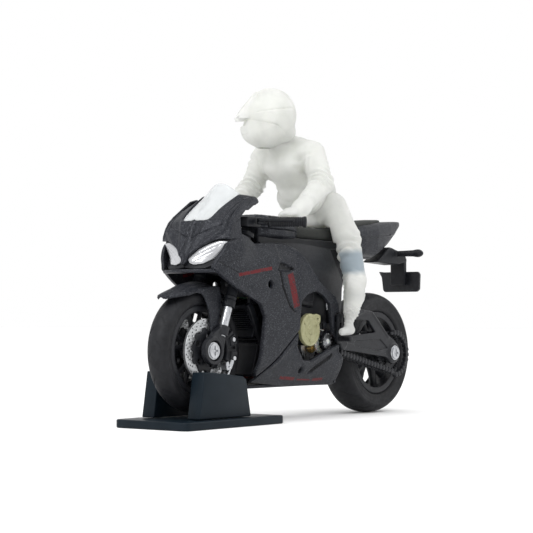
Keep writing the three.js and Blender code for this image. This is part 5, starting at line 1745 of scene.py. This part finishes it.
def arm_shapes(s):
    """A sleeve and its cuff."""
    sleeve = chain(((0.6, s * 8.6, 75.2), 3.8), ((1.6, s * 12.6, 66.4), 3.1), ((13.4, s * 14.2, 58.8), 2.2))
    return sleeve + [cone((13.0, s * 14.2, 59.0), 2.35, (14.6, s * 14.3, 58.1), 2.35)]


def hand_shapes(s):
    """A glove closed round the grip."""
    made = [egg((17.4, s * 14.6, 57.0), (2.6, 2.0, 1.9), (0, -24))]
    for k in range(4):
        y = 12.9 + 1.05 * k
        made.append(cone((18.8, s * y, 57.5 - 0.1 * k), 0.72, (20.0, s * (y - 0.5), 56.4), 0.66))
        made.append(cone((20.0, s * (y - 0.5), 56.4), 0.66, (19.6, s * (y - 0.8), 55.2), 0.6))
    made.append(cone((16.6, s * 12.9, 57.2), 0.8, (18.3, s * 11.8, 56.0), 0.66))
    return made


body_adds = [cone((-12.6, 0, 65.4), 6.2, (-1.6, 0, 73.6), 7.4), egg((-2.4, 0, 73), (6.8, 9.2, 7.4)),
             cone((0.4, -5.4, 75.2), 4.4, (0.4, 5.4, 75.2), 4.4), cone((0.2, 0, 76), 3.8, (5.6, 0, 79), 3.4),
             egg((-6.4, 0, 71.4), (6.4, 7.6, 6.2)),
             egg((3.0, 3.2, 72.4), (3.2, 3.2, 3.6)), egg((3.0, -3.2, 72.4), (3.2, 3.2, 3.6)),
             egg((-5.8, 0, 64.2), (6.8, 7.2, 6.2))]
body_marks = [folds((-9, 0, 67), (0.8, 0, 0.6), 8, 3.0, 0.14, 4.5),
              folds((-3, 0, 66), (0.5, 0, 0.8), 8, 2.6, 0.14, 3.5, 1.0)]
for s in (1, -1):
    body_adds += arm_shapes(s) + hand_shapes(s)
    body_marks += [folds((1.6, s * 12.6, 66.4), (0.4, s * 0.1, -0.8), 3.2, 2.1, 0.34, 3.2, 0.4),
                   folds((1.0, s * 10, 72), (0.1, s * 0.4, -0.9), 4, 2.4, 0.26, 3.2, 1.3),
                   folds((9.6, s * 13.8, 61.2), (0.8, 0, -0.5), 2.6, 1.7, 0.22, 2.4, 0.8),
                   folds((0.5, s * 9, 74), (0, 1, 0.2), 4, 2.2, 0.16, 2.0)]
controls_clear = [tube((26, s * 9, 54.7), (16.9, s * 19.1, 54.7), 1.72, 0.05) for s in (1, -1)]
body_cuts = controls_clear + [big_box(1.5, 24, 8.3, 45, 58.2), big_box(-21, 2.4, 6.6, 45, 57.6)]
finish_piece(rider_field(body_adds, body_cuts, body_marks), "jacket_and_gloves", "rider_body", angle=0)

leg_adds = [egg((-13.6, 0, 61.0), (6.4, 8.2, 5.6)), cone((-15.5, 0, 57.4), 2.6, (-6.6, 0, 57.4), 2.6)]
leg_marks = []
for s in (1, -1):
    leg_adds += [
        *chain(((-13.8, s * 5.2, 61), 4.4), ((-15, s * 9.6, 52), 3.9), ((-13.6, s * 13.6, 39.4), 3.1),
               ((-12.6, s * 13.9, 35), 2.9), ((-11.4, s * 13.6, 30.6), 2.3)),
        cone((-11.4, s * 13.6, 30.6), 1.5, (-10.4, s * 13.4, 26.4), 1.25),
        cone((-11.4, s * 13.4, 25.2), 1.35, (-7.2, s * 13.6, 24.7), 1.15),
        egg((-11.6, s * 14.4, 38.8), (2.9, 2.0, 3.2)),
    ]
    leg_marks += [folds((-14.4, s * 11, 48), (0.1, s * 0.3, -0.9), 4, 3.2, 0.32, 4.0, 0.5),
                  folds((-13.6, s * 13.6, 38), (0.1, 0, -1), 3.2, 1.9, 0.26, 3.0, 1.1),
                  folds((-11, s * 13.6, 29.6), (0.3, 0, -0.9), 2.4, 1.25, 0.26, 2.4, 0.2)]
leg_cuts = [big_box(-60, 30, 8.3, 18, 50.4), big_box(-60, 2.4, 6.6, 45, 55.15),
            big_box(-26, -5, 20, 15, 23.6),
            *(block((-9, s * 10.3, 28), (3.4, 1.45, 3.4), round_by=0.1) for s in (1, -1))]
finish_piece(rider_field(leg_adds, leg_cuts, leg_marks, blend=1.0), "trousers_and_boots", "rider_legs",
             angle=0)

HELMET = np.array([9.0, 0, 86.0])


def in_head(shape):
    """A shape drawn straight ahead about the helmet's middle, turned with it."""
    return placed(shape, HELMET, axes_of((-42, 0)))


def head_marks(x, y, z):
    a = np.abs(y)
    cut = groove(line_distance(x, z, (4.6, 0.2), (-5.6, 1.6)), 0.26, 0.3) * smoothstep((a - 3) / 1)
    cut += groove(line_distance(x, z, (7.0, -1.6), (-1.0, -3.4)), 0.28, 0.34) * smoothstep((a - 2) / 1)
    cut += groove(line_distance(x, z, (-1.0, -3.4), (-4.8, -6.2)), 0.26, 0.3) * smoothstep((a - 3) / 1)
    cut += groove(a - 2.6 + 0.1 * x, 0.22, 0.2) * smoothstep((z - 3.2) / 1) * smoothstep((x + 6) / 2)
    cut -= 0.24 * np.exp(-((a - 1.3) / 0.6) ** 2) * smoothstep((z - 4.6) / 1.4)
    cut += groove(line_distance(a, z, (1.0, -5.6), (3.0, -5.2)), 0.26, 0.36) * smoothstep((x - 4) / 1)
    return cut


PEAK = [(4.0, 6.0), (6.9, 3.4), (9.8, -0.5), (9.4, -1.7), (7.0, -1.6), (4.2, 0.4)]
head = [egg((0, 0, 0), (7.5, 6.9, 7.5)), cone((1.2, 0, -3.6), 5.6, (3.6, 0, -3.8), 4.9),
        prism(fillet(PEAK, 0.5), -4.2, 4.2, 0.6),
        cone((-4.4, 0, -4.6), 3.0, (2, 0, -6.6), 3.2), tube((0.6, -6.3, -1.2), (0.6, 6.3, -1.2), 1.5, 0.3)]
visor_cut = prism([(7.0, -1.5), (9.4, -1.9), (9.4, -3.0), (7.6, -3.4)], -5.2, 5.2, 0.3)
helmet = Field((0.5, -10.6, 76.6), (20.2, 8.2, 94.2), 0.24)
for shape in head:
    helmet.add(in_head(shape), 0.9)
marks, low, high = in_head((head_marks, (-8, -8, -9), (11, 8, 8)))
helmet.shift(marks, (0.5, -10.6, 76.6), (20.2, 8.2, 94.2))
helmet.cut(in_head(visor_cut), 0.4)
finish_piece(helmet.mesh(2), "helmet", "rider_helmet", angle=0)

# ---- stage ----------------------------------------------------------------------------
def aim_lamp(data, place, target):
    lamp = bpy.data.objects.new(data.name, data)
    lamp.location = place
    lamp.rotation_euler = (Vector(target) - Vector(place)).to_track_quat("-Z", "Y").to_euler()
    bpy.context.scene.collection.objects.link(lamp)


def stage_and_lights():
    bpy.ops.mesh.primitive_plane_add(size=6)
    floor = bpy.context.object
    floor.name = "floor"
    white = Nodes("pale_floor")
    white.color(white.tones(white.noise(3, 2), (0.93, 0.93, 0.93), (0.95, 0.95, 0.95)))
    white.set(Roughness=0.9, Specular_IOR_Level=0.1)
    floor.data.materials.append(white.material)
    world = bpy.data.worlds.new("world")
    bpy.context.scene.world = world
    world.use_nodes = True
    world.node_tree.nodes["Background"].inputs["Color"].default_value = (1, 1, 1, 1)
    world.node_tree.nodes["Background"].inputs["Strength"].default_value = 1.0
    for place, size, power, target in (
        ((0.10, 0.30, 0.42), 0.22, 0.30, (0, 0, 0.05)),
        ((-0.35, 0.30, 0.30), 0.25, 0.30, (0, 0, 0.04)),
        ((0.50, -0.02, 0.40), 0.26, 1.6, (0.04, 0, 0.045)),
    ):
        data = bpy.data.lights.new("soft", "AREA")
        data.shape = "DISK"
        data.size = size
        data.energy = power
        aim_lamp(data, place, target)
    overhead = bpy.data.lights.new("overhead", "SUN")
    overhead.energy = 0.5
    overhead.angle = math.radians(50)
    aim_lamp(overhead, (0.2, 0.5, 1.4), (0, 0, 0))
    bpy.context.scene.view_settings.view_transform = "Standard"


stage_and_lights()
